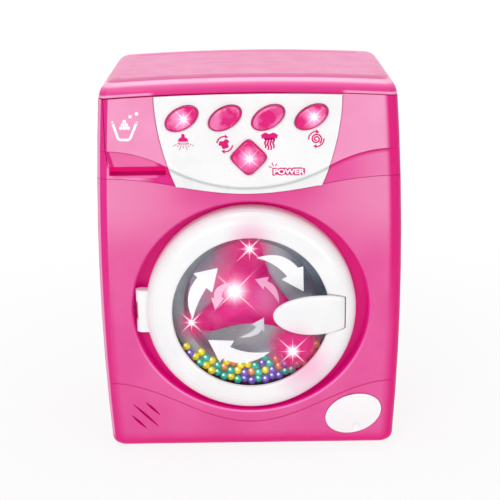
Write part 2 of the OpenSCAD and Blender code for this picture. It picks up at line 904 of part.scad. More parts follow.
module filter_cover() color(white) place() at_filter() {
    difference() {
        union() {
            intersection() {
                along_y(-0.8, 1.2) filter_outline();
                turned(180) polygon(concat(
                    [[0, 2]],
                    [for (k = [0:8]) let(r = k*filter_l/14) [r, r*r/(2*filter_dome_r) - 0.8]],
                    [[filter_l*8/14, 2]]
                ));
            }
            rotate([0, -filter_tilt, 0]) for (sx = [-1, 1])
                translate([sx*filter_l/4, 0, 0]) rod(1.5, 1, wall + 1.2);
        }
        translate([2, -4.2, -filter_w/2 + 3.4]) sphere(r = 4.4, $fn = 64);
    }
}

// Section of the door's ring: radius and depth
function ring_section() = concat(
    [[door_r, door_back], [door_r, 1]],
    [for (a = [15:15:90]) [door_r - 9.5*(1 - cos(a)), 1 - (ring_proud + 1)*sin(a)]],
    [[window_r + 1.2, -ring_proud], [window_r + 0.3, -ring_proud + 0.4], [window_r, -ring_proud + 1.2]],
    [[window_r, -lip_back], [ring_inner_r, -lip_back], [ring_inner_r, door_back]],
    [[ring_inner_r + 1.8, door_back], [ring_inner_r + 1.8, -2.4], [door_r - 1.8, 0.4], [door_r - 1.8, door_back]]
);

// Front view outline of the handle: a half oval, then sides that draw in to a straight end
module handle_outline(grow = 0) {
    half = handle_h/2 + grow;
    tip = handle_swell_x - handle_tip_x + grow;
    long = 1.65*(handle_root_x - handle_swell_x);
    last = asin((handle_root_x - handle_swell_x + grow)/long);
    polygon(concat(
        [for (a = [90:6:270]) [handle_swell_x + tip*cos(a), half*sin(a)]],
        [for (k = [1:6]) [handle_swell_x + long*sin(last*k/6), -half*cos(last*k/6)]],
        [for (k = [6:-1:1]) [handle_swell_x + long*sin(last*k/6), half*cos(last*k/6)]]
    ));
}

module door_ring() color(white) place() at_door() {
    difference() {
        union() {
            difference() {
                turned(180) polygon(ring_section());
                along_y(-20, -lip_back - 0.5) handle_outline(0.5);
                intersection() {
                    translate([ring_inner_r - 1.2, -20, -far/2])
                        cube([handle_root_x - ring_inner_r + 1.7, 16.4, far]);
                    along_y(-20, 10) handle_outline(0.5);
                }
            }
            for (s = [-1, 1]) translate([-hinge_x, hinge_y, s*(hinge_h - ear_h)/2]) {
                cylinder(r = knuckle_r, h = ear_h, center = true);
                translate([0, -knuckle_r, -ear_h/2]) cube([hinge_x - door_r + 2.6, 2*knuckle_r - 0.6, ear_h]);
            }
            translate([-hinge_x, hinge_y, -hinge_h/2]) {
                translate([0, -knuckle_r, 0]) cube([hinge_x - door_r + 2.4, 0.8, hinge_h]);
                difference() {
                    cylinder(r = knuckle_r, h = hinge_h);
                    translate([0, 0, -1]) cylinder(r = knuckle_r - 0.8, h = hinge_h + 2);
                    translate([-10, 1 - knuckle_r, -1]) cube([20, 20, hinge_h + 2]);
                }
            }
        }
        translate([-hinge_x, hinge_y, 0]) cylinder(r = pin_r + run_gap, h = hinge_h - 2, center = true);
        translate([-hinge_x, hinge_y, 0]) cylinder(r = pivot_r + 0.3, h = pivot_h + 0.6, center = true);
        rod(ring_inner_r, 0, far);
        rod(window_r, -far, 1);
    }
}

module hinge_bracket() color(white) place() at_door() {
    difference() {
        union() {
            translate([-hinge_x, hinge_y, 0]) cylinder(r = pivot_r, h = pivot_h, center = true);
            translate([-hinge_x - 1.3, hinge_y, -pivot_h/2]) cube([2.6, recess_d - hinge_y, pivot_h]);
            translate([-hinge_x - 3.6, recess_d - 1.4, -8]) cube([hinge_offset + 3, 1.4, 16]);
        }
        translate([-hinge_x, hinge_y, 0]) cylinder(r = pin_r, h = 20, center = true);
    }
}

module hinge_pin() color(steel) place() at_door() {
    translate([-hinge_x, hinge_y, 0]) cylinder(r = pin_r, h = hinge_h - 2.6, center = true);
}

module door_window() color([0.8, 0.85, 0.9, 0.35]) place() at_door() {
    rod(window_disc_r, -lip_back, window_t - lip_back);
}

module door_handle() color(white) place() at_door() {
    intersection() {
        along_y(-30, 30) handle_outline();
        translate([bow_x, bow_y, 0]) difference() {
            cylinder(r = handle_bow_r, h = 60, center = true, $fn = 720);
            cylinder(r = handle_bow_r - handle_t, h = 61, center = true, $fn = 720);
        }
    }
    translate([ring_inner_r - 0.2, -handle_root_y + 1, -7]) cube([handle_root_x - ring_inner_r, handle_root_y - 4.6, 14]);
}

module door_catch() color(white) place() at_door() {
    translate([catch_x - 1.4, 0.2, -4]) cube([2.8, door_back - 0.2, 8]);
    translate([catch_x - 0.9, door_back - 1, -3.6]) cube([1.8, recess_back + 0.4 - door_back + 1, 7.2]);
}

// Curved arrow: a tail that widens along an arc, then a pointed head
module arrow(r, tip, span, tail_w, head_w) {
    head = 0.34*span;
    steps = 8;
    tail = [for (k = [0:steps]) [tip + span - (span - head)*k/steps, 0.6 + tail_w*k/steps]];
    polygon(concat(
        [for (t = tail) (r + t[1]/2)*[cos(t[0]), sin(t[0])]],
        [(r + head_w/2)*[cos(tip + head), sin(tip + head)]],
        [r*[cos(tip), sin(tip)]],
        [(r - head_w/2)*[cos(tip + head), sin(tip + head)]],
        [for (k = [steps:-1:0]) (r - tail[k][1]/2)*[cos(tail[k][0]), sin(tail[k][0])]]
    ));
}

module outer_arrows() color(white) place() at_door() {
    along_y(window_t - lip_back, window_t - lip_back + 0.2)
        for (tip = outer_tips) arrow(outer_arrow_r, tip, 66, 9, 14.6);
}

module inner_arrows() color([1, 1, 1, 0.6]) place() at_door() {
    along_y(window_t - lip_back, window_t - lip_back + 0.2)
        for (tip = inner_tips) arrow(inner_arrow_r, tip, -54, 3.8, 8.6);
}

// Clear cover of the bead chamber, passed through the recess's floor from behind
module chamber_cover() color([0.85, 0.9, 0.95, 0.25]) place() at_door() {
    outer = chamber_r + chamber_wall;
    turned() polygon([
        [0, chamber_front], [outer - 1, chamber_front], [outer, chamber_front + 1], [outer, recess_back],
        [chamber_flange_r, recess_back], [chamber_flange_r, housing_front], [chamber_r, housing_front],
        [chamber_r, chamber_front + chamber_wall], [0, chamber_front + chamber_wall]
    ]);
}

// Beads, in rows one above the other along the bottom of the chamber
bead_rows = [58, 47, 31, 14];
bead_space = drum_face_y - chamber_front - chamber_wall;
bead_mid = chamber_front + chamber_wall + bead_space/2;
bead_shift = (bead_space - bead_d)/2 - bead_gap;
bead_step = sqrt(pow(bead_d + bead_gap, 2) - pow(2*bead_shift, 2));

function bead_row_r(k) = chamber_r - bead_d/2 - bead_gap - k*(bead_d + bead_gap);
function bead_row_count(k) = floor(2*bead_rows[k]*PI/180*bead_row_r(k)/bead_step);

beads = [for (k = [0:len(bead_rows) - 1]) for (i = [0:bead_row_count(k)]) [
    bead_row_r(k), bead_rows[k]*(2*i/bead_row_count(k) - 1), bead_mid + (i % 2 == 0 ? 1 : -1)*bead_shift
]];
bead_lots = rands(0, 4, len(beads), 11);

module bead_group(lot) {
    for (i = [0:len(beads) - 1]) {
        if (floor(bead_lots[i]) == lot)
            translate([beads[i][0]*sin(beads[i][1]), beads[i][2], -beads[i][0]*cos(beads[i][1])])
                sphere(r = bead_d/2, $fn = 24);
    }
}

module beads_yellow() color("#FFE100") place() at_door() bead_group(0);
module beads_orange() color("#F5893C") place() at_door() bead_group(1);
module beads_purple() color("#5B3FA0") place() at_door() bead_group(2);
module beads_teal() color("#1FA08C") place() at_door() bead_group(3);

// Drum: a flange, a ridged wall and a disc, turned as one
module drum() color(grey) place() at_door() {
    depth = drum_disc_y - drum_face_y - 2;
    turned(144) polygon(concat(
        [[shaft_r, drum_disc_y], [drum_disc_r, drum_disc_y]],
        [for (k = [ridge_count - 1:-1:0], low = [1, 0]) let(
            u = (k + 0.25 + 0.5*low)/ridge_count,
            r = drum_mouth_r + (drum_disc_r - drum_mouth_r)*u
        ) [r + (low == 1 ? 0.1 : 0.8), drum_face_y + 2 + u*depth]],
        [[drum_mouth_r, drum_face_y + 1.6], [drum_mouth_r, drum_face_y], [drum_flange_r, drum_face_y]],
        [[drum_flange_r, drum_face_y + drum_wall], [drum_mouth_r + 1 + drum_wall, drum_face_y + drum_wall]],
        [[drum_disc_r + 1 + drum_wall, drum_disc_y + drum_wall], [hub_r, drum_disc_y + drum_wall]],
        [[hub_r, drum_disc_y + drum_wall + 3], [shaft_r, drum_disc_y + drum_wall + 3]]
    ));
}

// Agitator: three lobes with hollow flanks under one dome
module agitator() color(magenta) place() at_door() {
    dome_r = (pow(lobe_r, 2) + pow(agitator_h - lobe_end_h, 2))/(2*(agitator_h - lobe_end_h));
    intersection() {
        along_y(drum_disc_y - agitator_h, drum_disc_y) difference() {
            circle(r = lobe_r, $fn = 120);
            for (a = [30:120:270]) rotate(a) translate([waist_r + flank_r, 0]) circle(r = flank_r, $fn = 240);
        }
        translate([0, drum_disc_y - agitator_h + dome_r, 0]) sphere(r = dome_r, $fn = 180);
    }
}

module drum_shaft() color(steel) place() at_door() {
    rod(shaft_r, drum_disc_y, plate_front + plate_t - 0.5);
}

module shaft_bush() color("#C9A24B") place() at_door() {
    turned(64) polygon([
        [shaft_r + run_gap, housing_back - housing_t - 1.2], [bush_r + 1.5, housing_back - housing_t - 1.2],
        [bush_r + 1.5, housing_back - housing_t], [bush_r, housing_back - housing_t],
        [bush_r, housing_back + 1.5], [shaft_r + run_gap, housing_back + 1.5]
    ]);
}

module drum_housing() color(white) place() at_door() {
    difference() {
        turned() polygon([
            [chamber_r, housing_front], [housing_r, housing_front], [housing_r, housing_front + housing_t],
            [housing_wall_r + 1.5, housing_front + housing_t], [housing_wall_r + 1.5, housing_back],
            [bush_r + 3, housing_back], [bush_r + 3, housing_back + 1.5], [bush_r, housing_back + 1.5],
            [bush_r, housing_back - housing_t], [housing_wall_r, housing_back - housing_t],
            [housing_wall_r, housing_front + housing_t], [chamber_r, housing_front + housing_t]
        ]);
        for (a = [45:90:315]) rotate([0, a, 0]) translate([housing_screw_at, 0, 0])
            rod(housing_screw_r + 0.2, 0, far);
        translate([reduction_x, 0, reduction_z]) rod(pin_r, 0, far);
        for (p = pillar_spots) translate([p[0], 0, p[1]]) rod(pillar_screw_r + run_gap, 0, far);
    }
}

module housing_screws() color(steel) place() at_door() {
    for (a = [45:90:315]) rotate([0, a, 0]) translate([housing_screw_at, 0, 0])
        screw(housing_screw_r, 2.2, housing_front + housing_t, 4, 1.4);
}

module lamp_board() color("#2F7D4F") place() at_door() {
    difference() {
        rod(lamp_r, housing_back - housing_t - board_t, housing_back - housing_t);
        rod(lamp_hole_r, 0, far);
    }
}

module drum_leds() color("#FFD8EC") place() at_door() {
    led_back = housing_back - housing_t - board_t;
    for (a = [90:120:330]) rotate([0, -a, 0]) translate([27, 0, 0]) led(drum_disc_y + drum_wall + 1, led_back);
    rotate([0, -163, 0]) translate([11.4, 0, 0]) led(drum_disc_y + drum_wall + 1, led_back);
}

// Angle between the pitch point and radius r on an involute from base circle rb
function involute(r, rb) = r <= rb ? 0 : let(a = acos(rb/r)) tan(a)*180/PI - a;

// Spur gear outline with involute flanks and a little backlash
module gear_outline(m, n) {
    rp = m*n/2;
    rb = rp*cos(20);
    root = rp - 1.2*m;
    tip = rp + 0.85*m;
    start = max(rb, root);
    half = 84/n + involute(rp, rb);
    steps = 3;
    flank = [for (k = [0:steps]) let(r = start + (tip - start)*k/steps) [r, half - involute(r, rb)]];
    polygon([for (t = [0:n - 1]) each concat(
        [root*[cos(t*360/n - flank[0][1]), sin(t*360/n - flank[0][1])]],
        [for (k = [0:steps]) flank[k][0]*[cos(t*360/n - flank[k][1]), sin(t*360/n - flank[k][1])]],
        [for (k = [steps:-1:0]) flank[k][0]*[cos(t*360/n + flank[k][1]), sin(t*360/n + flank[k][1])]],
        [root*[cos(t*360/n + flank[0][1]), sin(t*360/n + flank[0][1])]]
    )]);
}

module drum_gear() color(white) place() at_door() {
    difference() {
        union() {
            along_y(gear_front, gear_front + gear_t) rotate(slow_angle) gear_outline(slow_module, drum_teeth);
            rod(6, gear_front - 1.5, gear_front + gear_t);
        }
        rod(shaft_r, 0, far);
    }
}

module reduction_gear() color("#E8E4D8") place() at_door() translate([reduction_x, 0, reduction_z]) {
    difference() {
        union() {
            along_y(gear_front - 0.4, large_front) rotate(slow_angle + 180 + 180/small_teeth)
                gear_outline(slow_module, small_teeth);
            along_y(large_front, large_front + large_t) rotate(fast_angle) gear_outline(fast_module, large_teeth);
        }
        rod(pin_r + run_gap, 0, far);
    }
}

module reduction_pin() color(steel) place() at_door() translate([reduction_x, 0, reduction_z])
    rod(pin_r, housing_back - housing_t + 0.2, plate_front + plate_t);

module motor_pinion() color("#C9A24B") place() at_door() translate([motor_x, 0, motor_z]) {
    along_y(large_front - 0.4, large_front + large_t + 0.4) rotate(fast_angle + 180 + 180/pinion_teeth)
        gear_outline(fast_module, pinion_teeth);
    rod(1, large_front, plate_front + 12);
}

module motor() color(steel) place() at_door() translate([motor_x, 0, motor_z]) {
    difference() {
        union() {
            intersection() {
                rod(motor_r, plate_front + plate_t, plate_front + plate_t + motor_l);
                translate([-far/2, 0, -0.76*motor_r]) cube([far, far, 1.52*motor_r]);
            }
            rod(3, plate_front + 0.2, plate_front + plate_t + 1);
            rod(3, plate_front + plate_t + motor_l - 1, plate_front + plate_t + motor_l + 1.6);
        }
        rod(1 + run_gap, 0, plate_front + 13);
    }
}

// Bar between two points of the gear plate
module strut(a, b, w) {
    translate((a + b)/2) rotate(atan2(b[1] - a[1], b[0] - a[0])) square([norm(b - a), w], center = true);
}

module gear_plate() color(white) place() at_door() {
    reduction = [reduction_x, reduction_z];
    drive = [motor_x, motor_z];
    difference() {
        union() {
            along_y(plate_front, plate_front + plate_t) {
                for (p = concat(pillar_spots, [reduction])) {
                    strut([0, 0], p, 9);
                    translate(p) circle(r = 5.5);
                }
                strut(reduction, drive, 16);
                strut(pillar_spots[2], drive, 9);
                translate(drive) circle(r = motor_r);
                circle(r = 8);
            }
            for (p = pillar_spots) translate([p[0], 0, p[1]]) rod(pillar_r, housing_back, plate_front + 1);
        }
        rod(shaft_r + run_gap, 0, far);
        translate([reduction_x, 0, reduction_z]) rod(pin_r, 0, far);
        translate([motor_x, 0, motor_z]) rod(3 + run_gap, 0, far);
        for (p = pillar_spots) translate([p[0], 0, p[1]]) rod(pillar_screw_r + 0.2, 0, far);
    }
}

module plate_screws() color(steel) place() at_door() {
    for (p = pillar_spots) translate([p[0], 0, p[1]]) screw(
        pillar_screw_r, 2.2, plate_front + plate_t, plate_front + plate_t - housing_back + housing_t - 0.2, 1.4
    );
}

module speaker() color("#3A3C40") place() translate([vent_x, 0, vent_z]) {
    front = wall + 1;
    turned(96) polygon([
        [0, front + 2.2], [3.6, front + 3], [speaker_r - 2, front + 0.4], [speaker_r - 1.4, front], [speaker_r, front],
        [speaker_r, front + 1.2], [speaker_r - 1.6, front + 1.4], [7.6, front + 4.6], [7.6, front + 8], [0, front + 8]
    ]);
}

module rounded_plate(w, h, r) {
    square([w, h - 2*r], center = true);
    square([w - 2*r, h], center = true);
    for (sx = [-1, 1], sy = [-1, 1]) translate([sx*(w/2 - r), sy*(h/2 - r)]) circle(r = r);
}

module battery_door() color(pink) place() translate([0, 0, bay_low - 6 + battery_door_h/2]) {
    difference() {
        along_y(body_d - battery_door_t, body_d) rounded_plate(battery_door_w - 0.5, battery_door_h - 0.5, 0.8);
        for (k = [-2:2]) translate([0, body_d, k*3 - 12]) cube([24, 1, 1.2], center = true);
        translate([0, 0, bay_h + 9 - battery_door_h/2]) {
            rod(board_screw_r + 0.2, 0, far);
            rod(2.2, body_d - 1, far);
        }
    }
}

module battery_screw() color(steel) place() translate([0, 0, bay_low + bay_h + 3])
    screw(board_screw_r, 1.9, body_d - 1, 7, 0.9);

module batteries() color("#3C4A66") place() {
    for (k = [0:cell_count - 1]) {
        translate([0, bay_front + bay_d/2, bay_low + 0.5 + bay_pitch*(k + 0.5)]) rotate([0, k % 2 == 0 ? 90 : -90, 0]) {
            cylinder(r = cell_d/2, h = cell_l - 1, center = true);
            cylinder(r = 2.6, h = cell_l/2 + 0.5);
        }
    }
}

// Contacts at the cells' ends: a plate with a bump at one end and a plate with a tapered coil at the other
module battery_contacts() color(steel) place() {
    gap = (bay_w - cell_l + 1)/2;
    for (k = [0:cell_count - 1], s = [-1, 1]) {
        translate([0, bay_front + bay_d/2, bay_low + 0.5 + bay_pitch*(k + 0.5)]) rotate([0, s*90, 0]) {
            translate([-4.5, -4.5, bay_w/2 - 0.4]) cube([9, 9, 0.4]);
            if ((k % 2 == 0) == (s > 0)) translate([0, 0, cell_l/2 + 0.55]) cylinder(r = 2.4, h = gap - 1.45);
            else translate([0, 0, bay_w/2 - gap + 0.1]) difference() {
                cylinder(r1 = 3, r2 = 4.2, h = gap - 0.3);
                translate([0, 0, -1]) cylinder(r = 2.2, h = gap + 2);
            }
        }
    }
}

module case_screws() color(steel) place() {
    for (side = [-1, 1], z = case_screw_z) at_screw(side, z) screw(screw_r, head_r, seat_y, screw_l, head_t);
}

front_shell();
rear_shell();
fascia();
top_cover();
control_panel();
rinse_button();
wash_button();
dry_button();
spin_button();
power_button();
rinse_pad();
wash_pad();
dry_pad();
spin_pad();
power_pad();
circuit_board();
board_screws();
panel_leds();
detergent_drawer();
drawer_guide();
filter_cover();
door_ring();
door_window();
door_handle();
door_catch();
outer_arrows();
inner_arrows();
hinge_bracket();
hinge_pin();
chamber_cover();
beads_yellow();
beads_orange();
beads_purple();
beads_teal();
drum();
agitator();
drum_shaft();
shaft_bush();
drum_housing();
housing_screws();
lamp_board();
drum_leds();
drum_gear();
reduction_gear();
reduction_pin();
motor_pinion();
motor();
gear_plate();
plate_screws();
speaker();
battery_door();
battery_screw();
batteries();
battery_contacts();
case_screws();
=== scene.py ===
import math

import bmesh
import bpy
from mathutils import Matrix, Vector


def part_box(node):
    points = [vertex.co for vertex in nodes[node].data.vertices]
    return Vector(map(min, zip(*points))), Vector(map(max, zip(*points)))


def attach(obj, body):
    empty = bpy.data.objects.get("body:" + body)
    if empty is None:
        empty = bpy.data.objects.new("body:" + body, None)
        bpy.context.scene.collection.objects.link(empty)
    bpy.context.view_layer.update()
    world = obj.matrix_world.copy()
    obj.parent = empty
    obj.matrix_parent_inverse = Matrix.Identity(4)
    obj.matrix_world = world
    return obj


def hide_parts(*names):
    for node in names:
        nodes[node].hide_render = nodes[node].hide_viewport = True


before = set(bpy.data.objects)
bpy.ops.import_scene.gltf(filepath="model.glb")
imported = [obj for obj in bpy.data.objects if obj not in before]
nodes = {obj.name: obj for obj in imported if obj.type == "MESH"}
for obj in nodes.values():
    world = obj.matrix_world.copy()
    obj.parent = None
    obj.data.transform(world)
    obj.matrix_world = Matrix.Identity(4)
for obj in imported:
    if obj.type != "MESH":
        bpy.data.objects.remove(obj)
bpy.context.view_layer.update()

MM = 0.001
FRONT_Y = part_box("front_shell")[0].y / MM
DOOR_Z = 84.5
RIM_AXIS_Z = 242.3
# Where the drum's lamps shine through, centres of their painted light: right of the door's axis, behind the front
# face, above the axis, size
LAMP_SPOTS = [(-0.4, 16.5, 29.8, 1.0), (-34.3, 14.5, -13.6, 0.9), (23.5, 8.4, -30.0, 1.0), (-9.0, 14.0, 4.9, 1.7)]
scene = bpy.context.scene


# ---------------------------------------------------------------- materials

def at(x, y, z):
    """Point in metres from millimetres: y counts from the front face."""
    return Vector((x * MM, (FRONT_Y + y) * MM, z * MM))


def srgb(code):
    """Linear colour from a six-digit code."""
    parts = [int(code[i:i + 2], 16) / 255 for i in (0, 2, 4)]
    return tuple(p / 12.92 if p <= 0.04045 else ((p + 0.055) / 1.055) ** 2.4 for p in parts) + (1.0,)


class Shader:
    """A Principled material with short helpers for its nodes."""

    def __init__(self, name):
        self.mat = bpy.data.materials.new(name)
        self.mat.use_nodes = True
        self.tree = self.mat.node_tree
        self.bsdf = self.tree.nodes["Principled BSDF"]
        self.coord = self.tree.nodes.new("ShaderNodeTexCoord").outputs["Object"]

    def put(self, **values):
        for key, value in values.items():
            self.bsdf.inputs[key.replace("_", " ")].default_value = value
        return self

    def link(self, out, target):
        self.tree.links.new(out, target)

    def noise(self, scale, detail=3.0, rough=0.5, stretch=None):
        n = self.tree.nodes.new("ShaderNodeTexNoise")
        n.inputs["Scale"].default_value = scale
        n.inputs["Detail"].default_value = detail
        n.inputs["Roughness"].default_value = rough
        vector = self.coord
        if stretch:
            m = self.tree.nodes.new("ShaderNodeMapping")
            m.inputs["Scale"].default_value = stretch
            self.link(self.coord, m.inputs["Vector"])
            vector = m.outputs["Vector"]
        self.link(vector, n.inputs["Vector"])
        return n.outputs["Fac"]

    def ramp(self, fac, low, high, a=0.0, b=1.0):
        n = self.tree.nodes.new("ShaderNodeMapRange")
        n.interpolation_type = "SMOOTHSTEP"
        for key, value in (("From Min", low), ("From Max", high), ("To Min", a), ("To Max", b)):
            n.inputs[key].default_value = value
        self.link(fac, n.inputs["Value"])
        return n.outputs["Result"]

    def math(self, kind, a, b=None, c=None):
        n = self.tree.nodes.new("ShaderNodeMath")
        n.operation = kind
        for i, v in enumerate((a, b, c)):
            if v is None:
                continue
            if isinstance(v, (int, float)):
                n.inputs[i].default_value = v
            else:
                self.link(v, n.inputs[i])
        return n.outputs[0]

    def mix(self, fac, a, b):
        n = self.tree.nodes.new("ShaderNodeMix")
        n.data_type = "RGBA"
        for socket, v in ((n.inputs[0], fac), (n.inputs[6], a), (n.inputs[7], b)):
            if isinstance(v, (int, float, tuple)):
                socket.default_value = v
            else:
                self.link(v, socket)
        return n.outputs[2]

    def axes(self):
        n = self.tree.nodes.new("ShaderNodeSeparateXYZ")
        self.link(self.coord, n.inputs[0])
        return n.outputs

    def over(self, under, share):
        """Lays the Principled surface over another one by a share."""
        mix = self.tree.nodes.new("ShaderNodeMixShader")
        self.link(share, mix.inputs[0])
        self.link(under, mix.inputs[1])
        self.link(self.bsdf.outputs[0], mix.inputs[2])
        self.link(mix.outputs[0], self.tree.nodes["Material Output"].inputs["Surface"])

    def facing(self, direction, low, high):
        """Share of the surface whose normal lies near a direction."""
        d = self.tree.nodes.new("ShaderNodeVectorMath")
        d.operation = "DOT_PRODUCT"
        self.link(self.tree.nodes["Texture Coordinate"].outputs["Normal"], d.inputs[0])
        d.inputs[1].default_value = Vector(direction).normalized()
        return self.ramp(d.outputs["Value"], low, high)

    def gap_wall(self, x, y, start_mm=0.1):
        """Share of the narrow walls between parts of the front: they face sideways and lie behind a depth."""
        level = self.math("MAXIMUM", self.facing((0, 1, 0), 0.3, 0.6), self.facing((0, -1, 0), 0.3, 0.6))
        walls = self.math("MULTIPLY", self.math("SUBTRACT", 1.0, level), self.ramp(y, (FRONT_Y + start_mm) * MM, (FRONT_Y + start_mm + 0.4) * MM))
        walls = self.math("MULTIPLY", walls, self.ramp(y, (FRONT_Y + 9) * MM, (FRONT_Y + 7) * MM))
        return self.math("MULTIPLY", walls, self.ramp(self.math("ABSOLUTE", x), 80 * MM, 79 * MM))

    def near(self, spot, reach_mm, top=1.0, start_mm=0.0):
        """Share that is full at a spot and falls to nothing at the reach."""
        d = self.tree.nodes.new("ShaderNodeVectorMath")
        d.operation = "DISTANCE"
        self.link(self.coord, d.inputs[0])
        d.inputs[1].default_value = spot
        return self.ramp(d.outputs["Value"], start_mm * MM, reach_mm * MM, top, 0.0)

    def most(self, shares):
        """The largest of several shares."""
        best = shares[0]
        for share in shares[1:]:
            best = self.math("MAXIMUM", best, share)
        return best

    def rays(self, spot, reach_mm, width_mm):
        """Thin crossed streaks of painted light round a spot, seen along the depth."""
        x, y, z = self.axes()
        dx = self.math("SUBTRACT", x, spot[0])
        dz = self.math("SUBTRACT", z, spot[2])
        slant = self.math("MINIMUM", self.math("ABSOLUTE", self.math("ADD", dx, dz)),
                          self.math("ABSOLUTE", self.math("SUBTRACT", dx, dz)))
        upright = self.math("MINIMUM", self.math("ABSOLUTE", dx), self.math("ABSOLUTE", dz))
        shares = []
        for off, reach, width in ((slant, reach_mm, width_mm), (upright, reach_mm * 0.6, width_mm * 0.6)):
            fade = self.near(spot, reach)
            shares.append(self.math("MULTIPLY", self.ramp(self.math("DIVIDE", off, fade), 0.0, width * MM, 1.0, 0.0), fade))
        return self.most(shares)

    def glow(self, centres, core_mm, halo_mm, tint, tone, base_light, halo_level, ray_mm):
        """Painted light of lamps shining through at round centres: white core, thin rays and a coloured halo as
        emission over a lit tone.
        """
        cores, blooms, halos = [], [], []
        for x, y, z, size in centres:
            spot = (x, y, z)
            cores.append(self.near(spot, core_mm * size, 1.0, core_mm * size * 0.4))
            cores.append(self.math("MULTIPLY", self.rays(spot, ray_mm * size, 0.8), 0.6))
            blooms.append(self.near(spot, core_mm * size * 3.4, 0.8))
            halos.append(self.near(spot, halo_mm * size, 1.0, halo_mm * size * 0.22))
        core, bloom, halo = self.most(cores), self.most(blooms), self.most(halos)
        colour = self.mix(halo, tone, srgb(tint))
        self.halo = halo
        white_share = self.math("MAXIMUM", core, bloom)
        self.link(self.mix(white_share, colour, (1, 1, 0.97, 1)), self.bsdf.inputs["Emission Color"])
        level = self.math("ADD", self.math("MULTIPLY", halo, halo_level), base_light)
        level = self.math("ADD", level, self.math("MULTIPLY", bloom, 0.5))
        self.link(self.math("ADD", level, self.math("MULTIPLY", core, 1.3)), self.bsdf.inputs["Emission Strength"])

    def haloed(self, centres, halo_mm, tint, tone, base_light, halo_level):
        """Painted coloured light that falls off round lamps, as emission over a lit tone; gives back its share."""
        halo = self.most([self.near((x, y, z), halo_mm * size, 1.0, halo_mm * size * 0.22) for x, y, z, size in centres])
        self.link(self.mix(halo, tone, srgb(tint)), self.bsdf.inputs["Emission Color"])
        self.link(self.math("ADD", self.math("MULTIPLY", halo, halo_level), base_light), self.bsdf.inputs["Emission Strength"])
        return halo

    def soften(self, radius_mm, bumps):
        """Rounds the edges in the shading and lays bumps (height socket, distance in mm) over it."""
        last = None
        if radius_mm:
            b = self.tree.nodes.new("ShaderNodeBevel")
            b.samples = 6
            b.inputs["Radius"].default_value = radius_mm * MM
            last = b.outputs[0]
        for height, dist in bumps:
            n = self.tree.nodes.new("ShaderNodeBump")
            n.inputs["Strength"].default_value = 1.0
            n.inputs["Distance"].default_value = dist * MM
            self.link(height, n.inputs["Height"])
            if last:
                self.link(last, n.inputs["Normal"])
            last = n.outputs[0]
        self.link(last, self.bsdf.inputs["Normal"])
        return self


def plastic(name, low, high, rough=(0.28, 0.4), edge=0.45, grain=0.012, wave=0.05, specular=0.4, **more):
    """Moulded plastic: a mottled tint, a fine grain, a faint sink wave, uneven gloss and rare handling scuffs."""
    s = Shader(name)
    mottle = s.noise(38, 4)
    colour = s.mix(s.ramp(mottle, 0.3, 0.7), srgb(low), srgb(high))
    scuff = s.ramp(s.noise(420, 6, 0.7, (1, 1, 7)), 0.66, 0.78)
    worn = s.math("MULTIPLY", scuff, s.ramp(s.noise(19, 2), 0.55, 0.7))
    s.link(s.mix(s.math("MULTIPLY", worn, 0.18), colour, (0.95, 0.9, 0.92, 1)), s.bsdf.inputs["Base Color"])
    gloss = s.ramp(s.noise(75, 5), 0.25, 0.75, *rough)
    s.link(s.math("ADD", gloss, s.math("MULTIPLY", worn, 0.15)), s.bsdf.inputs["Roughness"])
    s.soften(edge, [(s.noise(24, 2), wave), (s.noise(1500, 3), grain)])
    s.put(Specular_IOR_Level=specular, **more)
    return s


def painted_corner_shade(s, base, x, y, z):
    """Painted shade in deep magenta along both upright corners of the front, where they turn from the light, with a
    thin painted highlight line at the far left.
    """
    bow = s.math("DIVIDE", s.math("POWER", s.math("ABSOLUTE", s.math("SUBTRACT", z, 95 * MM)), 2.0), 2800 * MM)
    inward = s.math("SUBTRACT", s.math("SUBTRACT", 84 * MM, bow), s.math("ABSOLUTE", x))
    front = s.ramp(y, (FRONT_Y + 6) * MM, (FRONT_Y + 11) * MM, 1.0, 0.0)
    right = s.ramp(x, -5 * MM, 5 * MM)
    crisp = s.mix(right, s.ramp(inward, 5.4 * MM, 6.0 * MM, 1.0, 0.0), s.ramp(inward, 5.4 * MM, 8.4 * MM, 1.0, 0.0))
    soft = s.ramp(inward, 2.5 * MM, 9.5 * MM, 1.0, 0.0)
    low = s.ramp(z, 70 * MM, 115 * MM)
    width = s.math("ADD", s.math("MULTIPLY", low, crisp), s.math("MULTIPLY", s.math("SUBTRACT", 1.0, low), soft))
    band = s.math("MULTIPLY", width, front)
    base = s.mix(band, base, s.mix(right, srgb("E21F86"), srgb("E0007A")))
    # Painted highlight: a thin light line near the left corner.
    line = s.math("MULTIPLY", s.ramp(inward, 0.3 * MM, 0.8 * MM), s.ramp(inward, 1.5 * MM, 2.2 * MM, 1.0, 0.0))
    line = s.math("MULTIPLY", line, s.ramp(x, -30 * MM, -60 * MM))
    return s.mix(s.math("MULTIPLY", line, s.math("MULTIPLY", front, 0.85)), base, srgb("FFA8D4"))


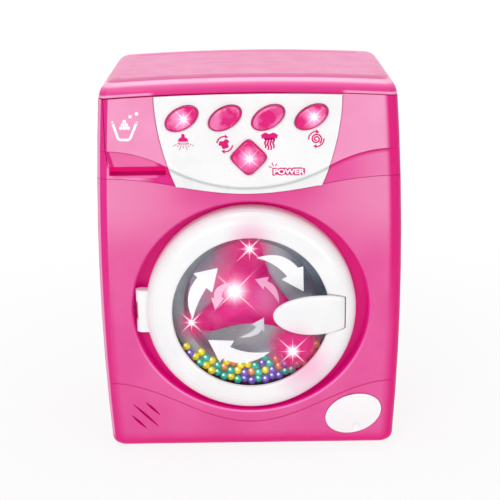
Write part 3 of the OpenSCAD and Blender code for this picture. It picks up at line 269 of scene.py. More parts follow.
def shade_case(name):
    """Pink moulding with painted light and shade: painted light up at both sides of the front, a painted shadow high
    in the middle, painted shade deep in the door's recess and along the foot, a painted highlight on the recess's
    lower lip, and deep magenta painted seam shade, with a painted glow in the recess, foot and seams.
    """
    s = Shader(name)
    x, y, z = s.axes()
    # Painted light: paler up at both sides of the front.
    side = s.ramp(s.math("ABSOLUTE", x), 15 * MM, 74 * MM)
    up = s.ramp(z, 106 * MM, 150 * MM)
    rim = s.ramp(y, (FRONT_Y + 12) * MM, (FRONT_Y + 30) * MM, 1.0, 0.0)
    base = s.mix(s.ramp(s.noise(38, 4), 0.3, 0.7), srgb("E6509A"), srgb("EB5EA2"))
    base = s.mix(s.math("MULTIPLY", s.math("MULTIPLY", side, up), s.math("MULTIPLY", rim, 0.8)), base, srgb("F290BC"))
    # Painted shadow high in the middle of the front.
    shadow = s.math("MULTIPLY", s.ramp(s.math("ABSOLUTE", x), 55 * MM, 20 * MM), s.ramp(z, 138 * MM, 154 * MM))
    base = s.mix(s.math("MULTIPLY", shadow, s.math("MULTIPLY", rim, 0.55)), base, srgb("DE3A8C"))
    base = painted_corner_shade(s, base, x, y, z)
    # Painted shade: deep magenta in the door's recess.
    dx = s.math("DIVIDE", x, 66.6 * MM)
    dz = s.math("DIVIDE", s.math("SUBTRACT", z, DOOR_Z * MM), 62.4 * MM)
    far = s.math("SQRT", s.math("ADD", s.math("MULTIPLY", dx, dx), s.math("MULTIPLY", dz, dz)))
    hollow = s.math("MULTIPLY", s.ramp(far, 1.0, 1.012, 1.0, 0.0), s.ramp(y, (FRONT_Y + 0.3) * MM, (FRONT_Y + 0.8) * MM))
    hollow = s.math("MULTIPLY", hollow, s.ramp(y, (FRONT_Y + 12) * MM, (FRONT_Y + 14) * MM, 1.0, 0.0))
    base = s.mix(hollow, base, srgb("DC0082"))
    # Painted highlight along the recess's lower lip.
    lip = s.math("MULTIPLY", s.ramp(far, 0.99, 0.998), s.ramp(far, 1.006, 1.016, 1.0, 0.0))
    lip = s.math("MULTIPLY", lip, s.ramp(y, (FRONT_Y + 0.4) * MM, (FRONT_Y + 0.8) * MM, 1.0, 0.0))
    low = s.ramp(z, 80 * MM, 40 * MM)
    base = s.mix(s.math("MULTIPLY", s.math("MULTIPLY", lip, low), 0.75), base, srgb("FF9CD0"))
    # Painted shade: deeper magenta along the foot.
    foot = s.ramp(z, 2.0 * MM, 11.0 * MM, 1.0, 0.0)
    base = s.mix(foot, base, srgb("DE007A"))
    # Painted shade: seam walls in deep magenta.
    inside = s.math("MULTIPLY", s.gap_wall(x, y), s.ramp(far, 1.02, 1.04))
    s.link(s.mix(inside, base, srgb("C4006E")), s.bsdf.inputs["Base Color"])
    # Painted glow in the recess's outer band, along the foot and in the seams.
    band = s.math("MULTIPLY", s.math("MULTIPLY", hollow, s.ramp(far, 0.8, 0.86)), 0.14)
    s.put(Emission_Color=srgb("DC0082"))
    band = s.math("MAXIMUM", band, s.math("MULTIPLY", foot, 0.14))
    s.link(s.math("MAXIMUM", s.math("MULTIPLY", inside, 0.3), band), s.bsdf.inputs["Emission Strength"])
    s.link(s.ramp(s.noise(75, 5), 0.25, 0.75, 0.3, 0.42), s.bsdf.inputs["Roughness"])
    s.soften(0.5, [(s.noise(24, 2), 0.05), (s.noise(1500, 3), 0.012)])
    return s.put(Specular_IOR_Level=0.3)


def shade_fascia(name):
    """Light pink moulding with painted shade: deeper in the scoops under the crest and deepest in the finger slot,
    with painted light and a painted highlight strip in the scoops, deep magenta painted seam shade, and a painted glow
    in the slot and seams.
    """
    s = Shader(name)
    x, y, z = s.axes()
    base = s.mix(s.ramp(s.noise(38, 4), 0.3, 0.7), srgb("F292BF"), srgb("F69EC7"))
    beyond = s.math("MINIMUM", s.math("SUBTRACT", s.math("ABSOLUTE", x), 78 * MM), 0.0)
    crest = s.math("SUBTRACT", 175.5 * MM, s.math("MULTIPLY", s.math("MULTIPLY", beyond, beyond), 7.8))
    under = s.math("SUBTRACT", crest, z)
    right = s.ramp(x, -5 * MM, 5 * MM)
    # Right scoop: painted light, fading to painted shade under the crest.
    lit = s.mix(s.ramp(x, 46 * MM, 74 * MM), srgb("E9509C"), srgb("EE7CB2"))
    lit = s.mix(s.ramp(under, 0.6 * MM, 3.2 * MM, 1.0, 0.0), lit, srgb("DA007C"))
    # Left scoop: painted shade under the crest with a painted dark contour and a darker right end, painted light left
    # of its wall, and a painted highlight strip under the slot.
    drawer = s.mix(s.ramp(under, 0.2 * MM, 0.8 * MM, 1.0, 0.0), srgb("EC6BA8"), srgb("C2347F"))
    wall_x = s.math("ADD", -77.4 * MM, s.math("MULTIPLY", s.math("SUBTRACT", 174.7 * MM, z), 0.3))
    off = s.math("ABSOLUTE", s.math("SUBTRACT", x, s.math("ADD", wall_x, 1.2 * MM)))
    contour = s.math("MULTIPLY", s.ramp(off, 0.9 * MM, 1.6 * MM, 1.0, 0.0), s.ramp(z, 161.6 * MM, 162.2 * MM))
    drawer = s.mix(contour, drawer, srgb("DC007A"))
    drawer = s.mix(s.ramp(x, -51 * MM, -48 * MM), drawer, srgb("E0107F"))
    left_of_wall = s.ramp(s.math("SUBTRACT", x, wall_x), -0.6 * MM, 0.2 * MM, 1.0, 0.0)
    drawer = s.mix(left_of_wall, drawer, srgb("F08ABA"))
    strip = s.mix(s.ramp(x, -62 * MM, -50 * MM), srgb("F58FC3"), srgb("E4208A"))
    drawer = s.mix(s.ramp(z, 161.0 * MM, 160.4 * MM), drawer, strip)
    scoop = s.mix(right, drawer, lit)
    ahead = s.ramp(y, (FRONT_Y + 6) * MM, (FRONT_Y + 9) * MM, 1.0, 0.0)
    base = s.mix(s.math("MULTIPLY", s.ramp(under, 0.0, 0.35 * MM), ahead), base, scoop)
    # Painted shade deepest in the finger slot, with a painted glow.
    slot = s.math("MULTIPLY", s.ramp(z, 167.4 * MM, 166.9 * MM), s.ramp(y, (FRONT_Y + 1.2) * MM, (FRONT_Y + 2.2) * MM))
    slot = s.math("MULTIPLY", slot, s.math("MULTIPLY", s.ramp(x, 0.0, -10 * MM), s.ramp(x, -81.2 * MM, -80.6 * MM)))
    base = s.mix(slot, base, s.mix(s.ramp(z, 161.9 * MM, 162.5 * MM), srgb("A00052"), srgb("E4007F")))
    base = painted_corner_shade(s, base, x, y, z)
    # Painted seam shade in deep magenta, with a painted glow.
    walls = s.gap_wall(x, y)
    seam = s.math("MULTIPLY", walls, s.math("SUBTRACT", 1.0, slot))
    s.link(s.mix(seam, base, srgb("C4006E")), s.bsdf.inputs["Base Color"])
    s.link(s.mix(slot, srgb("C8006E"), base), s.bsdf.inputs["Emission Color"])
    slot_light = s.math("MULTIPLY", slot, 0.45)
    s.link(s.math("MAXIMUM", s.math("MULTIPLY", walls, 0.28), slot_light), s.bsdf.inputs["Emission Strength"])
    s.link(s.ramp(s.noise(75, 5), 0.25, 0.75, 0.3, 0.42), s.bsdf.inputs["Roughness"])
    s.soften(0.5, [(s.noise(24, 2), 0.05), (s.noise(1500, 3), 0.012)])
    return s.put(Specular_IOR_Level=0.3)


def shade_cover(name):
    """Top cover: painted shade deep at the seam, a painted highlight line along the rounded edge, a painted shade
    behind it and a pale top, with a painted light band low on the front over the fascia's ends.
    """
    s = Shader(name)
    edge = s.tree.nodes.new("ShaderNodeAttribute")
    edge.attribute_name = "edge_mm"
    inset = edge.outputs["Fac"]
    x, y, z = s.axes()
    ahead = s.ramp(y, (FRONT_Y + 12) * MM, (FRONT_Y + 20) * MM, 1.0, 0.0)
    tone = s.mix(s.ramp(s.noise(30, 4), 0.3, 0.7), srgb("E775AA"), srgb("E97DB0"))
    # Painted shade behind the rounded edge, painted shade darker down the front face, and a painted highlight line
    # along the edge.
    shade = s.math("MULTIPLY", s.ramp(inset, 4.2, 5.4), s.ramp(inset, 10.6, 12.2, 1.0, 0.0))
    tone = s.mix(s.math("MULTIPLY", shade, ahead), tone, srgb("D65C92"))
    front = s.mix(s.ramp(inset, 0.1, 1.8), srgb("E12C88"), srgb("EA6CA8"))
    tone = s.mix(s.ramp(inset, 1.8, 2.3, 1.0, 0.0), tone, front)
    line = s.math("MULTIPLY", s.ramp(inset, 1.3, 2.6), s.ramp(inset, 3.8, 4.8, 1.0, 0.0))
    tone = s.mix(s.math("MULTIPLY", line, ahead), tone, srgb("FFB0D2"))
    # Painted highlight: a light band low on the front over the fascia's ends.
    rise = s.math("ADD", s.math("SUBTRACT", z, 206 * MM), s.math("MULTIPLY", s.math("MULTIPLY", x, x), 0.4))
    lip = s.math("MULTIPLY", s.ramp(rise, 0.4 * MM, 0.7 * MM), s.ramp(rise, 1.5 * MM, 2.1 * MM, 1.0, 0.0))
    lip = s.math("MULTIPLY", lip, s.math("MULTIPLY", s.ramp(s.math("ABSOLUTE", x), 49 * MM, 53 * MM), ahead))
    tone = s.mix(s.math("MULTIPLY", lip, 0.7), tone, srgb("FBB4D8"))
    s.link(tone, s.bsdf.inputs["Base Color"])
    s.link(s.ramp(s.noise(75, 5), 0.25, 0.75, 0.28, 0.4), s.bsdf.inputs["Roughness"])
    s.soften(0, [(s.noise(24, 2), 0.05), (s.noise(1500, 3), 0.012)])
    return s.put(Specular_IOR_Level=0.3)


def deep_walls(s, tone, x, y, light=0.0):
    """Colours a white piece by a tone; paints its walls in the seam a deep magenta shade with a painted glow, and
    gives the rest a faint white painted glow of a given strength.
    """
    walls = s.gap_wall(x, y, -0.8)
    s.link(s.mix(walls, tone, srgb("C4006E")), s.bsdf.inputs["Base Color"])
    s.link(s.mix(walls, (1, 1, 1, 1), srgb("C4006E")), s.bsdf.inputs["Emission Color"])
    s.link(s.math("ADD", s.math("MULTIPLY", walls, 0.24), light), s.bsdf.inputs["Emission Strength"])


def shade_filter(name):
    """Gloss white of the filter cover, with painted seam shade and a faint painted glow."""
    s = shade_white(name, ())
    x, y, z = s.axes()
    deep_walls(s, srgb("FAFAFB"), x, y, 0.03)
    return s


def shade_panel(name):
    """White panel with a soft grey shade under its raised arc."""
    s = Shader(name)
    x, y, z = s.axes()
    dz = s.math("SUBTRACT", z, RIM_AXIS_Z * MM)
    far = s.math("SQRT", s.math("ADD", s.math("MULTIPLY", x, x), s.math("MULTIPLY", dz, dz)))
    line = s.math("MULTIPLY", s.ramp(far, 86.6 * MM, 88.0 * MM), s.ramp(far, 88.2 * MM, 89.6 * MM, 1.0, 0.0))
    foot = s.ramp(far, 87.6 * MM, 88.4 * MM, 0.0, 0.1)
    tone = s.mix(s.ramp(s.noise(38, 4), 0.3, 0.7), srgb("F7F7F8"), srgb("FCFCFC"))
    tone = s.mix(s.math("MAXIMUM", s.math("MULTIPLY", line, 0.5), foot), tone, srgb("A8B2AE"))
    deep_walls(s, tone, x, y)
    s.link(s.ramp(s.noise(75, 5), 0.25, 0.75, 0.25, 0.38), s.bsdf.inputs["Roughness"])
    s.soften(0.4, [(s.noise(24, 2), 0.006), (s.noise(1500, 3), 0.01)])
    return s.put(Specular_IOR_Level=0.35)


def shade_white(name, painted_lamp_light):
    """Gloss white with pink lamp light painted into its colour at given places: right, behind the front, above the
    axis, reach, share.
    """
    s = Shader(name)
    tone = s.mix(s.ramp(s.noise(38, 4), 0.3, 0.7), srgb("F6F6F7"), srgb("FCFCFC"))
    for x, y, z, reach, share in painted_lamp_light:
        spot = (x * MM, (FRONT_Y + y) * MM, (DOOR_Z + z) * MM)
        tone = s.mix(s.near(spot, reach, share), tone, srgb("F96BB4"))
    s.link(tone, s.bsdf.inputs["Base Color"])
    s.link(s.ramp(s.noise(75, 5), 0.25, 0.75, 0.14, 0.26), s.bsdf.inputs["Roughness"])
    s.soften(0.4, [(s.noise(24, 2), 0.04), (s.noise(1500, 3), 0.008)])
    return s.put(Specular_IOR_Level=0.45)


def shade_clear(name, tint, haze_share, mirror_share, stars=(), veils=()):
    """Thin clear pane with a little haze and a soft mirror image; the light of lamps behind it is painted on it as
    glowing stars and pink veils.
    """
    s = Shader(name)
    haze = s.ramp(s.noise(60, 4), 0.35, 0.75)
    colour = s.mix(haze, srgb(tint), (1, 1, 1, 1))
    s.link(s.ramp(s.noise(300, 5, 0.7, (1, 1, 9)), 0.3, 0.8, 0.05, 0.16), s.bsdf.inputs["Roughness"])
    s.soften(0, [(s.noise(30, 2), 0.03)])
    clear_pane = s.tree.nodes.new("ShaderNodeBsdfTransparent")
    weight = s.tree.nodes.new("ShaderNodeLayerWeight")
    weight.inputs["Blend"].default_value = 0.2
    share = s.math("ADD", s.math("MULTIPLY", weight.outputs["Fresnel"], mirror_share), s.math("MULTIPLY", haze, haze_share))
    if stars:
        # Painted light: white star cores and rays, and pink veils, glowing on the pane.
        white = s.most([s.most([s.near(spot, 2.2 * size, 1.0, 0.9 * size), s.near(spot, 5.6 * size * size, 0.8),
                                s.math("MULTIPLY", s.rays(spot, 19.0 * size, 0.9), 0.85)]) for spot, size in stars])
        veil = s.most([s.near(spot, reach, top, start) for spot, start, reach, top in veils])
        lit = s.mix(white, srgb("D80078"), (1, 0.93, 0.97, 1))
        light = s.math("MAXIMUM", white, veil)
        colour = s.mix(s.ramp(light, 0.0, 0.04), colour, lit)
        s.link(lit, s.bsdf.inputs["Emission Color"])
        s.link(s.math("ADD", s.math("MULTIPLY", veil, 0.22), white), s.bsdf.inputs["Emission Strength"])
        share = s.math("MAXIMUM", share, light)
    s.link(colour, s.bsdf.inputs["Base Color"])
    s.over(clear_pane.outputs[0], share)
    return s


def shade_metal(name, low, high, rough=(0.25, 0.45), metal=1.0, stretch=(1, 1, 1), depth=0.02):
    s = Shader(name)
    streak = s.noise(160, 5, 0.6, stretch)
    s.link(s.mix(streak, srgb(low), srgb(high)), s.bsdf.inputs["Base Color"])
    s.link(s.ramp(s.noise(120, 4), 0.3, 0.7, *rough), s.bsdf.inputs["Roughness"])
    s.soften(0.15, [(streak, depth)])
    return s.put(Metallic=metal)


def gem_surface(s, tone, coat=0.5):
    """Gloss of a clear moulding over a given tone."""
    s.link(tone, s.bsdf.inputs["Base Color"])
    s.link(s.ramp(s.noise(90, 4), 0.3, 0.7, 0.08, 0.18), s.bsdf.inputs["Roughness"])
    s.soften(0.3, [(s.noise(40, 2), 0.05)])
    return s.put(Coat_Weight=coat, Coat_Roughness=0.05, IOR=1.45, Specular_IOR_Level=0.35)


def shade_lens(name):
    """Small clear magenta lamps."""
    s = Shader(name)
    tone = s.mix(s.ramp(s.noise(95, 2), 0.4, 0.6), srgb("C4005F"), srgb("F27AB6"))
    s.link(tone, s.bsdf.inputs["Emission Color"])
    s.put(Emission_Strength=0.12)
    return gem_surface(s, tone)


def shade_agitator(name, lamps):
    """Clear magenta lobes with a painted glow: paler in the middle and in soft clouds, with the drum's lamps' light
    painted round them.
    """
    s = Shader(name)
    # Painted glow: paler in the middle and in soft clouds.
    cloud = s.ramp(s.noise(70, 2), 0.4, 0.75, 0.0, 0.35)
    pale = s.most([cloud] + [s.near(at(x, 12, DOOR_Z + z), reach, 0.8) for x, z, reach in ((-13, 14, 16), (9, 2, 16))])
    tone = s.mix(pale, srgb("E0007E"), srgb("EA80B6"))
    base_light = s.math("ADD", s.math("MULTIPLY", pale, 0.14), 0.3)
    s.haloed(lamps, 13.0, "F05CAA", tone, base_light, 0.14)
    return gem_surface(s, tone, 0.05).put(Specular_IOR_Level=0.15)


def shade_button(name, spot, lit, reach, pale_shift):
    """Clear magenta key: a painted deep shade cloud in a pale body with a faint painted glow, or a lamp under it whose
    light is painted as a glow that leaves only the ends deep.
    """
    s = Shader(name)
    cloud = s.noise(170, 2.5)
    if lit:
        # Painted lamp light: pale round the lamp, deep at the ends, glowing.
        ends = s.math("SUBTRACT", 1.0, s.near(Vector(spot) + Vector(pale_shift) * MM, reach, 1.0, reach * 0.35))
        share = s.math("ADD", ends, s.ramp(cloud, 0.35, 0.7, -0.15, 0.55))
        tone = s.mix(share, srgb("EE86B8"), srgb("DA0076"))
        s.glow([(*spot, 1.0)], 1.7, reach * 0.7, "F573B4", tone, 0.12, 0.16, reach * 1.5)
    else:
        # Painted shade: a deep cloud beside the middle in a pale body, with a faint painted glow.
        aside = Vector(spot) + Vector(pale_shift) * MM
        share = s.math("ADD", s.near(aside, reach * 0.75, 1.0, 2.4), s.ramp(cloud, 0.4, 0.62, -0.2, 0.7))
        tone = s.mix(share, srgb("EA72AE"), srgb("D80074"))
        s.link(tone, s.bsdf.inputs["Emission Color"])
        s.put(Emission_Strength=0.12)
    return gem_surface(s, tone, 0.15)


def shade_drum(name, lamps):
    """Bright grey drum: a painted sheen on the disc and in bands round the wall, a painted shade at the upper right,
    pink lamp light painted on it and a faint painted glow.
    """
    s = Shader(name)
    x, y, z = s.axes()
    sheen = s.noise(26, 2, 0.5, (1, 4, 1))
    tone = s.mix(s.ramp(sheen, 0.3, 0.7), srgb("858C95"), srgb("B9C1CA"))
    face = s.ramp(y, (FRONT_Y + 17) * MM, (FRONT_Y + 21.5) * MM)
    disc = s.mix(s.ramp(sheen, 0.35, 0.65), srgb("A3B0BD"), srgb("CDD7E0"))
    tone = s.mix(face, tone, disc)
    # Painted shade at the upper right.
    dusk = s.math("MULTIPLY", s.ramp(x, 16 * MM, 34 * MM), s.ramp(z, (DOOR_Z - 6) * MM, (DOOR_Z + 4) * MM))
    tone = s.mix(s.math("MULTIPLY", dusk, 0.85), tone, srgb("5E6E80"))
    # Pink lamp light painted round the lamps, with a faint painted glow all over.
    halo = s.haloed([(*place[:3], wide * place[3]) for place, wide in zip(lamps, (1.0, 0.6, 1.0, 1.0))],
                    17.0, "E8208A", tone, 0.1, 0.45)
    tone = s.mix(s.math("MULTIPLY", halo, 0.9), tone, srgb("E0107F"))
    s.link(tone, s.bsdf.inputs["Base Color"])
    s.link(s.ramp(s.noise(70, 3), 0.3, 0.7, 0.25, 0.4), s.bsdf.inputs["Roughness"])
    s.soften(0.2, [(s.noise(200, 2, 0.5, (1, 5, 1)), 0.01)])
    return s.put(Metallic=0.35)


def shade_bead(name, low, high):
    """Gloss bead with a painted highlight on its upper front and a faint painted glow."""
    s = plastic(name, low, high, (0.08, 0.16), 0, 0.006, 0.03, 0.8)
    shine = s.facing((-0.25, -0.7, 0.65), 0.9, 0.97)
    s.link(s.mix(shine, srgb(high), (1, 1, 1, 1)), s.bsdf.inputs["Emission Color"])
    s.link(s.math("ADD", s.math("MULTIPLY", shine, 0.5), 0.18), s.bsdf.inputs["Emission Strength"])
    return s


def shade_pale_print(name):
    """Small arrows: painted pink lamp light above the door's axis, paler at the left, a painted grey shade below it,
    and a faint painted glow.
    """
    s = Shader(name)
    x, y, z = s.axes()
    pink = s.mix(s.ramp(x, -6 * MM, 4 * MM), srgb("FABEDC"), srgb("F0A2C8"))
    tone = s.mix(s.ramp(z, (DOOR_Z - 4) * MM, (DOOR_Z + 1) * MM), srgb("D6D8DF"), pink)
    tone = s.mix(s.ramp(s.noise(60, 3), 0.3, 0.7, 0.0, 0.12), tone, (1, 1, 1, 1))
    s.link(tone, s.bsdf.inputs["Base Color"])
    s.link(tone, s.bsdf.inputs["Emission Color"])
    s.link(s.ramp(s.noise(75, 5), 0.25, 0.75, 0.45, 0.6), s.bsdf.inputs["Roughness"])
    s.soften(0, [(s.noise(1500, 3), 0.02)])
    return s.put(Alpha=0.86, Emission_Strength=0.14, Specular_IOR_Level=0.3)


# ---------------------------------------------------------------- mesh helpers

def piece(name, verts, faces, shader, body, replaces=(), sharp=32.0, levels=0):
    mesh = bpy.data.meshes.new(name)
    mesh.from_pydata([tuple(v) for v in verts], [], faces)
    bm = bmesh.new()
    bm.from_mesh(mesh)
    bmesh.ops.remove_doubles(bm, verts=bm.verts, dist=1e-6)
    bmesh.ops.recalc_face_normals(bm, faces=bm.faces)
    bm.to_mesh(mesh)
    bm.free()
    mesh.polygons.foreach_set("use_smooth", [True] * len(mesh.polygons))
    mesh.set_sharp_from_angle(angle=math.radians(sharp))
    mesh.materials.append(shader.mat)
    obj = bpy.data.objects.new(name, mesh)
    scene.collection.objects.link(obj)
    if levels:
        sub = obj.modifiers.new("subdivision", "SUBSURF")
        sub.levels = sub.render_levels = levels
    if replaces:
        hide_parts(*replaces)
    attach(obj, body)
    return obj


def rings_mesh(rings, wrap=True, close_first=True, close_last=True):
    """Faces that join rings of equally many points."""
    n = len(rings[0])
    verts = [p for ring in rings for p in ring]
    faces = []
    for k in range(len(rings) - 1):
        for i in range(n if wrap else n - 1):
            j = (i + 1) % n
            faces.append((k * n + i, k * n + j, (k + 1) * n + j, (k + 1) * n + i))
    if close_first:
        faces.append(tuple(range(n)))
    if close_last:
        faces.append(tuple((len(rings) - 1) * n + i for i in range(n)))
    return verts, faces


def domed(outline, centre, profile):
    """Rings of a shrinking outline: the profile lists shares of the outline and depths."""
    cx, cz = centre
    return [[at(cx + s * (x - cx), y, cz + s * (z - cz)) for x, z in outline] for s, y in profile]


def prism(outline, y0, y1):
    return rings_mesh([[at(x, y0, z) for x, z in outline], [at(x, y1, z) for x, z in outline]])


def merged(parts):
    verts, faces = [], []
    for v, f in parts:
        shift = len(verts)
        verts += v
        faces += [tuple(i + shift for i in face) for face in f]
    return verts, faces


def stroke(points, width, y0, y1, taper=1.0):
    """Flat band along points, its width going to width * taper at the end."""
    left, right = [], []
    for i, p in enumerate(points):
        a, b = points[max(i - 1, 0)], points[min(i + 1, len(points) - 1)]
        d = Vector((b[0] - a[0], b[1] - a[1])).normalized()
        w = width * (1 + (taper - 1) * i / (len(points) - 1)) / 2
        left.append((p[0] - d.y * w, p[1] + d.x * w))
        right.append((p[0] + d.y * w, p[1] - d.x * w))
    return prism(left + right[::-1], y0, y1)


def circle(cx, cz, r, n=24):
    return [(cx + r * math.cos(2 * math.pi * i / n), cz + r * math.sin(2 * math.pi * i / n)) for i in range(n)]


def arc(cx, cz, r, a0, a1, n=14):
    return [(cx + r * math.cos(math.radians(a0 + (a1 - a0) * i / n)), cz + r * math.sin(math.radians(a0 + (a1 - a0) * i / n)))
            for i in range(n + 1)]


def half_w(z):
    return 84 - (z - 95) ** 2 / 2800


# ---------------------------------------------------------------- the case

case_pink = shade_case("case_pink")
cover_pink = shade_cover("cover_pink")
fascia_pink = shade_fascia("fascia_pink")
panel_white = shade_panel("panel_white")
# Painted pink lamp light on the door ring and the handle.
ring_white = shade_white("ring_white", [(0, -8, 42, 17, 0.55), (30, -8, -32, 24, 0.5)])
filter_white = shade_filter("filter_white")
handle_white = shade_white("handle_white", [(24, -15, -14, 15, 0.35)])
white = plastic("white_gloss", "F5F5F6", "FBFBFC", (0.16, 0.28), 0.5, 0.008, 0.04, 0.45)
inner = plastic("inner_white", "D9D8D2", "E5E4DE", (0.4, 0.55), 0.3)
clear = shade_clear("window_clear", "DDE6EE", 0.005, 0.14)
PANE_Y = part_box("chamber_cover")[0].y / MM - FRONT_Y
# Painted lamp light on the chamber's pane: stars right of and above the door's axis with a size, and pink veils with a
# start, reach and top.
STARS = [(-0.3, 36.2, 0.85), (-33.2, -6.4, 0.8), (23.2, -24.5, 0.95), (-8.9, 11.7, 1.5)]
VEILS = [(-4.2, 34.2, 3, 20, 0.6), (-31.9, -8.0, 1, 13, 0.5), (24.6, -21.3, 5, 18, 0.92)]
clear_chamber = shade_clear(
    "chamber_clear", "D5DEE8", 0.003, 0.06,
    [(at(x, PANE_Y, DOOR_Z + z), size) for x, z, size in STARS],
    [(at(x, PANE_Y, DOOR_Z + z), start, reach, top) for x, z, start, reach, top in VEILS])
# Faint painted glow that keeps the white prints bright.
print_white = plastic("print_white", "F6F6F7", "FDFDFD", (0.45, 0.6), 0, 0.02, 0.0, 0.3,
                      Emission_Color=(1, 1, 1, 1), Emission_Strength=0.05)
print_pale = shade_pale_print("print_pale")
print_magenta = plastic("print_magenta", "D9006F", "E4007F", (0.4, 0.55), 0, 0.02, 0.0, 0.3)
lamps = [(x * MM, (FRONT_Y + y) * MM, (DOOR_Z + z) * MM, size) for x, y, z, size in LAMP_SPOTS]
drum_grey = shade_drum("drum_grey", lamps)
steel = shade_metal("steel", "9A9DA0", "C8CACD")
brass = shade_metal("brass", "A8863A", "CDAF62")
acetal = plastic("acetal", "DDD9CC", "EAE6DA", (0.35, 0.5), 0.15)
rubber = plastic("silicone", "3C3F43", "505358", (0.55, 0.75), 0.2)
board = plastic("board_green", "1E6B3C", "2F8A52", (0.35, 0.5), 0.1)
cell = plastic("cell_wrap", "26324A", "3C4A66", (0.2, 0.32), 0.2)
# Speaker tinted magenta with a painted glow, so the slots in front of it show magenta light.
dark = plastic("speaker_cone", "98145C", "B01C6C", (0.6, 0.8), 0.2, Emission_Color=srgb("C80070"), Emission_Strength=0.5)
BEAD_TINTS = {"yellow": ("FFD800", "FFEF2E"), "orange": ("F5802E", "FFA45C"), "purple": ("5A2FA8", "8A68D8"), "teal": ("0FA08C", "3CCBB4")}
beads = {key: shade_bead("bead_" + key, *tints) for key, tints in BEAD_TINTS.items()}
lamp = shade_lens("lamp_lens")
gem_agitator = shade_agitator("gem_agitator", lamps)
finish_of = {
    "front_shell": case_pink, "rear_shell": case_pink, "fascia": fascia_pink, "top_cover": cover_pink,
    "control_panel": panel_white, "detergent_drawer": fascia_pink, "drawer_guide": inner, "filter_cover": filter_white,
    "door_ring": ring_white, "door_window": clear, "door_handle": handle_white, "door_catch": white, "hinge_bracket": white,
    "chamber_cover": clear_chamber, "drum": drum_grey, "drum_housing": inner, "lamp_board": board, "circuit_board": board,
    "drum_leds": lamp, "panel_leds": lamp, "drum_gear": acetal, "reduction_gear": acetal, "motor_pinion": brass,
    "shaft_bush": brass, "gear_plate": inner, "speaker": dark, "battery_door": case_pink, "batteries": cell,
    "outer_arrows": print_white, "inner_arrows": print_pale, "agitator": gem_agitator,
}
for key in beads:
    finish_of["beads_" + key] = beads[key]
for key, obj in nodes.items():
    shader = finish_of.get(key) or (rubber if key.endswith("_pad") else lamp if key.endswith("_button") else steel)
    obj.data.materials.clear()
    obj.data.materials.append(shader.mat)

# Top cover: a rounded edge, a shallow step and the arched top, with a thin lip at the seam
BODY_H, BODY_D, EDGE_R, EDGE_H, RISE, ARCH_R, BACK_CORNER = 206.0, 110.0, 13.0, 11.0, 8.8, 1250.0, 8.0


def plan(inset, corner, steps=10):
    """Rounded rectangle of the body's top, seen from above, from the front right corner round."""
    a, d = half_w(BODY_H) - inset, BODY_D - inset
    front_r = max(corner - inset * 0.999, 0.05)
    back_r = max(min(corner, BACK_CORNER) - inset * 0.999, 0.05)
    points = []
    for side, depth, r, a0 in ((1, inset, front_r, -90), (1, d, back_r, 0), (-1, d, back_r, 90), (-1, inset, front_r, 180)):
        cx = side * (a - r)
        cy = depth + r if depth == inset else depth - r
        for i in range(steps + 1):
            turn = math.radians(a0 + 90 * i / steps)
            points.append((cx + r * math.cos(turn), cy + r * math.sin(turn)))
    dense = []
    for i, p in enumerate(points):
        q = points[(i + 1) % len(points)]
        parts = 24 if i % (steps + 1) == steps else 1
        dense += [(p[0] + (q[0] - p[0]) * k / parts, p[1] + (q[1] - p[1]) * k / parts) for k in range(parts)]
    return dense


def arch(x):
    return BODY_H - (ARCH_R - math.sqrt(ARCH_R ** 2 - x ** 2))


cover_profile = [(0.35, 5.0, 0.3), (0.05, 5.0, 0.45), (0.0, 5.0, 0.8), (0.1, 5.0, 1.15)]
for k in range(24):
    t = math.radians(3 + 83 * k / 23)
    cover_profile.append((EDGE_R * (1 - math.cos(t) ** 0.667), 5 + 8 * k / 23, RISE - EDGE_H * (1 - math.sin(t) ** 0.667)))
cover_profile = [ring for k, ring in enumerate(cover_profile) if k < 4 or ring[2] > 1.4]
cover_profile += [(12.4, EDGE_R, 8.78), (13.4, 13.6, 8.74), (14.3, 14.6, 8.5), (15.2, 15.6, 8.3), (17, 17.5, 8.25),
                  (22, 22.3, 8.25), (32, 32.3, 8.25), (44, 44.3, 8.25), (54.6, 54.7, 8.25)]
rings = [[at(x, y, arch(x) + h) for x, y in plan(inset, corner)] for inset, corner, h in cover_profile]
verts, faces = rings_mesh(rings)
skin = piece("top_cover_skin", verts, faces, cover_pink, "case", ["top_cover"], 40)
ring_n = len(rings[0])
edge_mm = skin.data.attributes.new("edge_mm", "FLOAT", "POINT")
for i, mark in enumerate(edge_mm.data):
    mark.value = cover_profile[i // ring_n][0]


# ---------------------------------------------------------------- panel, buttons and prints

OVALS = [((k - 1.5) * 23 - 0.9, 193.0) for k in range(4)]
POWER = (0.0, 171.5)


def tilted_oval(cx, cz, a, b, tilt, n=72):
    c, s = math.cos(math.radians(tilt)), math.sin(math.radians(tilt))
    return [(cx + a * math.cos(t) * c - b * math.sin(t) * s, cz + a * math.cos(t) * s + b * math.sin(t) * c)
            for t in (2 * math.pi * i / n for i in range(n))]


def diamond(cx, cz, half, corner=4.0, n=10):
    """Square on its corner with rounded corners."""
    reach = half + corner * (math.sqrt(2) - 1) - corner * math.sqrt(2)
    points = []
    for a0 in (0, 90, 180, 270):
        ox, oz = cx + reach * math.cos(math.radians(a0)), cz + reach * math.sin(math.radians(a0))
        points += [(ox + corner * math.cos(math.radians(a0 - 45 + 90 * i / n)), oz + corner * math.sin(math.radians(a0 - 45 + 90 * i / n)))
                   for i in range(n + 1)]
    return points


cap_profile = [(1.0, 2.6), (1.0, -1.6), (0.995, -2.1), (0.975, -2.5), (0.95, -2.65), (0.92, -2.6), (0.895, -2.35), (0.88, -2.3),
               (0.86, -2.38), (0.8, -2.55), (0.7, -2.75), (0.55, -2.95), (0.4, -3.08), (0.25, -3.16), (0.1, -3.19), (0.02, -3.2)]
